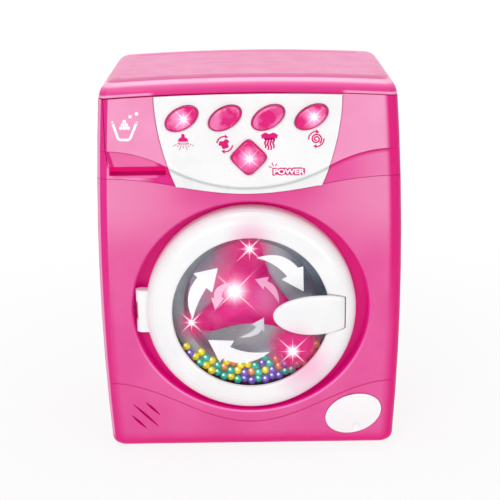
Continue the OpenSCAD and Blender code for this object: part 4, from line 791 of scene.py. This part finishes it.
# Painted shade: a darker copy of the keys' magenta on the caps' rounded rims.
rim_shade_magenta = plastic("rim_shade_magenta", "C00066", "D0006F", (0.15, 0.28), 0.2)
# Where each key's painted lamp light sits from its middle, and where the painted deep part of an unlit key and the
# pale part of a lit key lie.
LIGHT_AT = {"rinse": (1.2, 0.1), "wash": (0, 0), "dry": (0, 0), "spin": (1.4, 0.4), "power": (0.5, -0.4)}
SHADE_SHIFT = {"rinse": (-3.0, 0, -1.2), "wash": (1.6, 0, 0.8), "dry": (-1.2, 0, -0.6), "spin": (0.6, 0, -0.6), "power": (-0.6, 0, -0.4)}
for key, spot, lit in zip(("rinse", "wash", "dry", "spin", "power"), OVALS + [POWER], (1, 0, 0, 1, 1)):
    dx, dz = LIGHT_AT[key]
    gem = shade_button("gem_" + key, tuple(at(spot[0] + dx, -3.1, spot[1] + dz)), lit, 9.5 if key == "power" else 8.5, SHADE_SHIFT[key])
    outline = diamond(*spot, 9.6) if key == "power" else tilted_oval(*spot, 9.7, 5.8, 30)
    verts, faces = rings_mesh(domed(outline, spot, cap_profile))
    cap = piece(key + "_cap", verts, faces, gem, key + "_key", [key + "_button"], 40)
    cap.data.materials.append(rim_shade_magenta.mat)
    n = len(outline)
    for poly in cap.data.polygons:
        if poly.index < 6 * n:
            poly.material_index = 1

PRINT = (-1.07, -0.98)


def printed(name, parts, shader, body="case"):
    verts, faces = merged(parts)
    return piece(name, verts, faces, shader, body, (), 60)


def tee(cx, cz, w, h, turn=0.0):
    shape = [(-0.18, 0.5), (-0.36, 0.46), (-0.5, 0.2), (-0.46, 0.0), (-0.32, 0.02), (-0.3, -0.42), (-0.2, -0.5), (0.2, -0.5), (0.3, -0.42),
             (0.32, 0.02), (0.46, 0.0), (0.5, 0.2), (0.36, 0.46), (0.18, 0.5), (0.09, 0.4), (-0.09, 0.4)]
    c, s = math.cos(math.radians(turn)), math.sin(math.radians(turn))
    return [(cx + x * w * c - z * h * s, cz + x * w * s + z * h * c) for x, z in shape]


def arrow_arc(cx, cz, r, a0, a1, width, head):
    """Arc with an arrowhead at its end a1."""
    sign = 1 if a1 > a0 else -1
    tip = math.radians(a1 + sign * math.degrees(head / r))
    end = math.radians(a1)
    p = [(cx + rr * math.cos(end), cz + rr * math.sin(end)) for rr in (r - head * 0.62, r + head * 0.62)]
    return [stroke(arc(cx, cz, r, a0, a1), width, *PRINT), prism([p[0], p[1], (cx + r * math.cos(tip), cz + r * math.sin(tip))], *PRINT)]


SHOWER = (-34.9, 180.1)
shower = [prism([(-35.7, 184.7), (-34.1, 184.7), (-33.9, 182.9), (-33.0, 182.5), (-32.3, 181.7), (-32.2, 180.5),
                 (-37.6, 180.5), (-37.5, 181.7), (-36.8, 182.5), (-35.9, 182.9)], *PRINT),
          prism([(-37.6, 179.6), (-32.2, 179.6), (-32.2, 179.95), (-37.6, 179.95)], *PRINT)]
for i in range(-3, 4):
    lean = math.radians(21 * i)
    for near, far in ((1.0, 1.7), (2.2, 3.0), (3.5, 4.2)):
        ends = [(SHOWER[0] + 0.55 * i + r * math.sin(lean), SHOWER[1] - r * math.cos(lean)) for r in (near, far)]
        if near < 3 or i % 2:
            shower.append(stroke(ends, 0.5, *PRINT))
printed("icon_rinse", shower, print_magenta)
printed("icon_wash", [prism(tee(-12.9, 178.8, 6.0, 4.8, 20), *PRINT)]
        + arrow_arc(-12.7, 178.9, 4.2, 172, 88, 0.8, 1.9) + arrow_arc(-12.7, 178.9, 4.2, -8, -92, 0.8, 1.9), print_magenta)
side = [(0.8, 184.2), (1.5, 184.8), (2.8, 184.7), (4.6, 183.4), (4.0, 181.4), (3.0, 181.9), (2.75, 181.0)]
yoke = [(11.2 + x, z) for x, z in side] + [(11.2 - x, z) for x, z in side[::-1]]
steam = [prism(yoke, *PRINT)]
for i, low in zip((-1.5, -0.5, 0.5, 1.5), (176.4, 175.4, 175.4, 176.2)):
    wavy = [(11.2 + i * 1.45 + 0.3 * math.sin(k * 0.62), 181.6 - (181.6 - low) * k / 16) for k in range(17)]
    steam.append(stroke(wavy, 1.15, *PRINT, 0.7))
printed("icon_dry", steam, print_magenta)
turns = [(36.2 + (0.5 + 2.5 * k / 48) * math.cos(0.26 * k + 1), 181 - (0.5 + 2.5 * k / 48) * math.sin(0.26 * k + 1))
         for k in range(49)]
printed("icon_spin", [stroke(turns, 0.8, *PRINT)]
        + arrow_arc(36.2, 181, 4.1, 184, 92, 0.75, 1.9) + arrow_arc(36.2, 181, 4.1, 4, -88, 0.75, 1.9), print_magenta)


def word(name, text, x0, z0, width, height, bold, y, shader):
    """Solid letters that fill a given box on the panel."""
    curve = bpy.data.curves.new(name, "FONT")
    curve.body = text
    curve.offset = bold
    curve.extrude = 0.00003
    curve.resolution_u = 6
    temp = bpy.data.objects.new(name + "_temp", curve)
    scene.collection.objects.link(temp)
    bpy.context.view_layer.update()
    mesh = bpy.data.meshes.new_from_object(temp.evaluated_get(bpy.context.evaluated_depsgraph_get()))
    bpy.data.objects.remove(temp)
    xs, ys = [v.co.x for v in mesh.vertices], [v.co.y for v in mesh.vertices]
    kx, ky = width / (max(xs) - min(xs)), height / (max(ys) - min(ys))
    for v in mesh.vertices:
        v.co = at(x0 + (v.co.x - min(xs)) * kx, y - v.co.z * 500, z0 + (v.co.y - min(ys)) * ky)
    mesh.materials.clear()
    mesh.materials.append(shader.mat)
    obj = bpy.data.objects.new(name, mesh)
    scene.collection.objects.link(obj)
    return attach(obj, "case")


word("word_back", "POWER", 12.6, 161.2, 18.2, 4.4, 0.11, -1.04, print_magenta)
printed("word_ground", [prism([(13.1, 161.7), (30.2, 161.7), (30.2, 165.1), (13.1, 165.1)], *PRINT)], print_magenta)
word("word_face", "POWER", 13.3, 161.9, 16.8, 3.0, 0.035, -1.1, print_white)
printed("word_rays", [stroke([a, b], 0.5, *PRINT) for a, b in (
    ((12.3, 165.7), (10.7, 166.4)), ((13.2, 166.4), (12.5, 168.4)), ((14.2, 166.6), (15.2, 167.9)))], print_magenta)

# Basin with bubbles and powder, printed in white on the drawer's front
FACE = (-0.07, 0.02)
bowl = [(-72.3, 191.2), (-69.8, 182.9), (-69.2, 182.1), (-68.4, 181.8), (-64.4, 181.7), (-63.6, 182.0), (-63.0, 182.8), (-59.4, 191.0)]
basin = [stroke(bowl, 1.4, *FACE)] + [prism(circle(x, z, 0.7), *FACE) for x, z in (bowl[0], bowl[-1])]
for row, count in ((191.7, 1), (189.9, 2), (188.1, 3)):
    basin += [prism(circle(-65.9 + 1.95 * (k - (count - 1) / 2), row, 1.0), *FACE) for k in range(count)]
basin += [prism(circle(-62.7, 194.2, 0.95), *FACE), prism(circle(-59.2, 195.7, 1.0), *FACE)]
printed("basin_print", basin, print_white, "drawer")

# ---------------------------------------------------------------- the door


# The handle: a rounded shell over the bent plate of the solid, drawn in to a straight end at the hinge-far side
HX, HZ, SWELL_X, ROOT_X = 12.2, DOOR_Z, 36.0, 52.0
BOW_X, BOW_Y, BOW_R = 22.6747, 75.8884, 90.0


def handle_half(x):
    if x < SWELL_X:
        return 11.3 * math.sqrt(max(0.0, 1 - ((SWELL_X - x) / (SWELL_X - HX)) ** 2))
    return 11.3 * math.cos(math.asin((x - SWELL_X) / (1.65 * (ROOT_X - SWELL_X))))


def handle_outline(n=26):
    xs = [SWELL_X - (SWELL_X - HX) * math.cos(math.pi / 2 * i / n) for i in range(n)] + [SWELL_X + (ROOT_X - 0.3 - SWELL_X) * i / 12 for i in range(13)]
    up = [(x, HZ + handle_half(x)) for x in xs]
    down = [(x, HZ - handle_half(x)) for x in xs]
    end = [(ROOT_X, HZ + handle_half(ROOT_X) * (1 - i / 6)) for i in range(1, 12)]
    return up + end + down[:0:-1]


def bow(x):
    return BOW_Y - math.sqrt(BOW_R ** 2 - (x - BOW_X) ** 2)


outline = handle_outline()
spine = 34.0
rings = []
for s, drop in ((0.2, 3.0), (0.6, 3.1), (0.9, 3.0), (0.975, 2.7), (1.0, 2.2), (1.0, 1.6), (0.985, 0.95), (0.955, 0.45), (0.9, 0.1), (0.8, -0.18),
                (0.65, -0.42), (0.45, -0.6), (0.25, -0.68), (0.08, -0.7)):
    ring = []
    for x, z in outline:
        px, pz = spine + s * (x - spine), HZ + s * (z - HZ)
        ring.append(at(px, bow(px) + drop, pz))
    rings.append(ring)
verts, faces = rings_mesh(rings)
foot = [at(x, y, z) for y in (-9.0, -5.4) for x, z in ((44.6, 77.8), (51.6, 77.8), (51.6, 91.2), (44.6, 91.2))]
foot_faces = [(0, 1, 2, 3), (7, 6, 5, 4), (0, 4, 5, 1), (1, 5, 6, 2), (2, 6, 7, 3), (3, 7, 4, 0)]
verts, faces = merged([(verts, faces), (foot, foot_faces)])
piece("handle_grip", verts, faces, handle_white, "door", ["door_handle"], 40)

# Arrows printed on the window's back


def bend(a, m, b, n=14):
    """Smooth curve from a to b that passes m half way."""
    points = []
    for i in range(n + 1):
        u = i / n
        wa, wm, wb = (1 - u) * (1 - 2 * u), 4 * u * (1 - u), u * (2 * u - 1)
        points.append((wa * a[0] + wm * m[0] + wb * b[0], DOOR_Z + wa * a[1] + wm * m[1] + wb * b[1]))
    return points


def swept_arrow(tail, outer_mid, outer_notch, outer_barb, tip, inner_barb, inner_notch, inner_mid):
    """Arrow with a curved tail that ends in a point; places are right of and above the door's axis."""
    head = [(x, DOOR_Z + z) for x, z in (outer_barb, tip, inner_barb)]
    return bend(tail, outer_mid, outer_notch) + head + bend(inner_notch, inner_mid, tail)[:-1]


PRINT_BACK = (-4.58, -4.42)
LARGE_ARROWS = [
    ((-32.3, -3.8), (-34.6, 9.0), (-29.2, 20.6), (-31.3, 23.0), (-17.8, 25.9), (-21.2, 11.7), (-24.4, 14.5), (-29.3, 5.2)),
    ((3.4, 31.3), (16.0, 32.4), (26.3, 25.4), (29.1, 26.2), (29.3, 11.6), (17.2, 18.7), (20.2, 20.5), (12.5, 27.6)),
    ((10.4, -24.1), (-3.2, -30.4), (-16.4, -27.6), (-17.8, -30.1), (-24.1, -16.4), (-9.6, -17.1), (-11.9, -20.8), (-1.5, -24.1)),
]
SMALL_ARROWS = [
    ((15.7, 4.7), (14.1, 13.4), (9.1, 17.8), (10.2, 20.4), (2.6, 19.0), (7.3, 12.7), (7.6, 15.0), (11.9, 10.6)),
    ((-9.6, 17.4), (-18.0, 14.8), (-20.2, 8.7), (-21.9, 8.4), (-19.8, 1.7), (-14.8, 8.1), (-16.1, 9.1), (-14.2, 13.6)),
    ((-6.8, -15.1), (1.7, -14.2), (6.0, -10.3), (7.1, -12.0), (7.2, -3.6), (0.2, -7.5), (2.6, -8.5), (0.4, -11.6)),
]
verts, faces = merged([prism(swept_arrow(*spots), *PRINT_BACK) for spots in LARGE_ARROWS])
piece("arrows_large", verts, faces, print_white, "door", ["outer_arrows"], 60)
verts, faces = merged([prism(swept_arrow(*spots), *PRINT_BACK) for spots in SMALL_ARROWS])
piece("arrows_small", verts, faces, print_pale, "door", ["inner_arrows"], 60)

# ---------------------------------------------------------------- the agitator

LOBE_R, WAIST_R, FLANK_R, DISC_Y = 34.4, 16.0, 61.0, 22.0


def lobe_reach(a):
    """Reach of the agitator at an angle, its tips rounded off."""
    total = 0.0
    for shift in range(-6, 7, 2):
        t = math.radians(a + shift)
        best = LOBE_R
        for c in (30, 150, 270):
            d = t - math.radians(c)
            root = FLANK_R ** 2 - ((WAIST_R + FLANK_R) * math.sin(d)) ** 2
            if root > 0 and math.cos(d) > 0:
                best = min(best, (WAIST_R + FLANK_R) * math.cos(d) - math.sqrt(root))
        total += best
    return total / 7


reach = [lobe_reach(a) for a in range(0, 360, 2)]
rings = []
for s, h in ((1.0, 0.1), (1.0, 2.6), (0.985, 3.6), (0.95, 4.5), (0.88, 5.4), (0.78, 6.5), (0.66, 7.8), (0.54, 9.3), (0.42, 10.8), (0.32, 12.0),
             (0.22, 13.0), (0.12, 13.7), (0.03, 14.0)):
    ring = []
    for i, r in enumerate(reach):
        a = math.radians(2 * i)
        rr = r * s if s > 0.5 else (r * s / 0.5 * 0.5) * s / 0.5 + 17.2 * s * (1 - s / 0.5)
        ring.append(at(rr * math.cos(a), DISC_Y - h, DOOR_Z + rr * math.sin(a)))
    rings.append(ring)
verts, faces = rings_mesh(rings)
piece("agitator_body", verts, faces, gem_agitator, "drum", ["agitator"], 40)

# ---------------------------------------------------------------- stage, lights and camera


def stage_material():
    s = Shader("floor_pale")
    s.link(s.mix(s.noise(3, 3), (0.86, 0.86, 0.87, 1), (0.9, 0.9, 0.905, 1)), s.bsdf.inputs["Base Color"])
    s.put(Roughness=0.9, Specular_IOR_Level=0.1)
    path = s.tree.nodes.new("ShaderNodeLightPath")
    seen = s.math("MAXIMUM", path.outputs["Is Camera Ray"], path.outputs["Is Glossy Ray"])
    seen = s.math("MAXIMUM", seen, path.outputs["Is Transmission Ray"])
    glow = s.tree.nodes.new("ShaderNodeEmission")
    glow.inputs["Strength"].default_value = 1.0
    mix = s.tree.nodes.new("ShaderNodeMixShader")
    x, y, z = s.axes()
    away = s.math("SQRT", s.math("ADD", s.math("MULTIPLY", x, x), s.math("MULTIPLY", y, y)))
    s.link(s.math("MULTIPLY", seen, s.ramp(away, 0.12, 0.4, 0.86, 1.0)), mix.inputs[0])
    s.link(s.bsdf.outputs[0], mix.inputs[1])
    s.link(glow.outputs[0], mix.inputs[2])
    s.link(mix.outputs[0], s.tree.nodes["Material Output"].inputs["Surface"])
    return s


mesh = bpy.data.meshes.new("floor")
mesh.from_pydata([(-14, -14, 0), (14, -14, 0), (14, 14, 0), (-14, 14, 0)], [], [(0, 1, 2, 3)])
floor = bpy.data.objects.new("floor", mesh)
mesh.materials.append(stage_material().mat)
scene.collection.objects.link(floor)

world = bpy.data.worlds.new("studio")
world.use_nodes = True
scene.world = world
tree = world.node_tree
back = tree.nodes["Background"]
path = tree.nodes.new("ShaderNodeLightPath")
seen = None
for key in ("Is Camera Ray", "Is Glossy Ray", "Is Transmission Ray"):
    if seen is None:
        seen = path.outputs[key]
        continue
    m = tree.nodes.new("ShaderNodeMath")
    m.operation = "MAXIMUM"
    tree.links.new(seen, m.inputs[0])
    tree.links.new(path.outputs[key], m.inputs[1])
    seen = m.outputs[0]
level = tree.nodes.new("ShaderNodeMapRange")
level.inputs["To Min"].default_value = 0.42
level.inputs["To Max"].default_value = 1.0
tree.links.new(seen, level.inputs["Value"])
tree.links.new(level.outputs["Result"], back.inputs["Strength"])
back.inputs["Color"].default_value = (1, 1, 1, 1)


def softbox(name, spot, target, size, power, colour=(1, 1, 1)):
    light = bpy.data.lights.new(name, "AREA")
    light.shape = "RECTANGLE"
    light.size, light.size_y = size
    light.energy = power
    light.color = colour
    obj = bpy.data.objects.new(name, light)
    obj.location = spot
    obj.rotation_mode = "QUATERNION"
    obj.rotation_quaternion = (Vector(target) - Vector(spot)).to_track_quat("-Z", "Y")
    scene.collection.objects.link(obj)


softbox("key", (-0.7, -1.5, 1.0), (0, 0, 0.1), (0.9, 0.7), 11)
softbox("fill", (0.9, -1.3, 0.6), (0, 0, 0.1), (0.8, 0.8), 4.5)
softbox("top", (0, 0.2, 1.5), (0, 0, 0.15), (1.2, 0.8), 9)

camera_data = bpy.data.cameras.new("camera")
camera_data.sensor_width = 36
camera_data.lens = 1198 / 500 * 36
camera = bpy.data.objects.new("camera", camera_data)
elevation, roll = math.radians(17.5), math.radians(-0.8)
camera.location = (0, FRONT_Y * MM - 0.6285, 0.31725)
camera.rotation_mode = "XYZ"
turn = Matrix.Rotation(math.pi / 2 - elevation, 4, "X") @ Matrix.Rotation(roll, 4, "Z")
camera.rotation_euler = turn.to_euler("XYZ")
scene.collection.objects.link(camera)
scene.camera = camera

scene.view_settings.view_transform = "Standard"
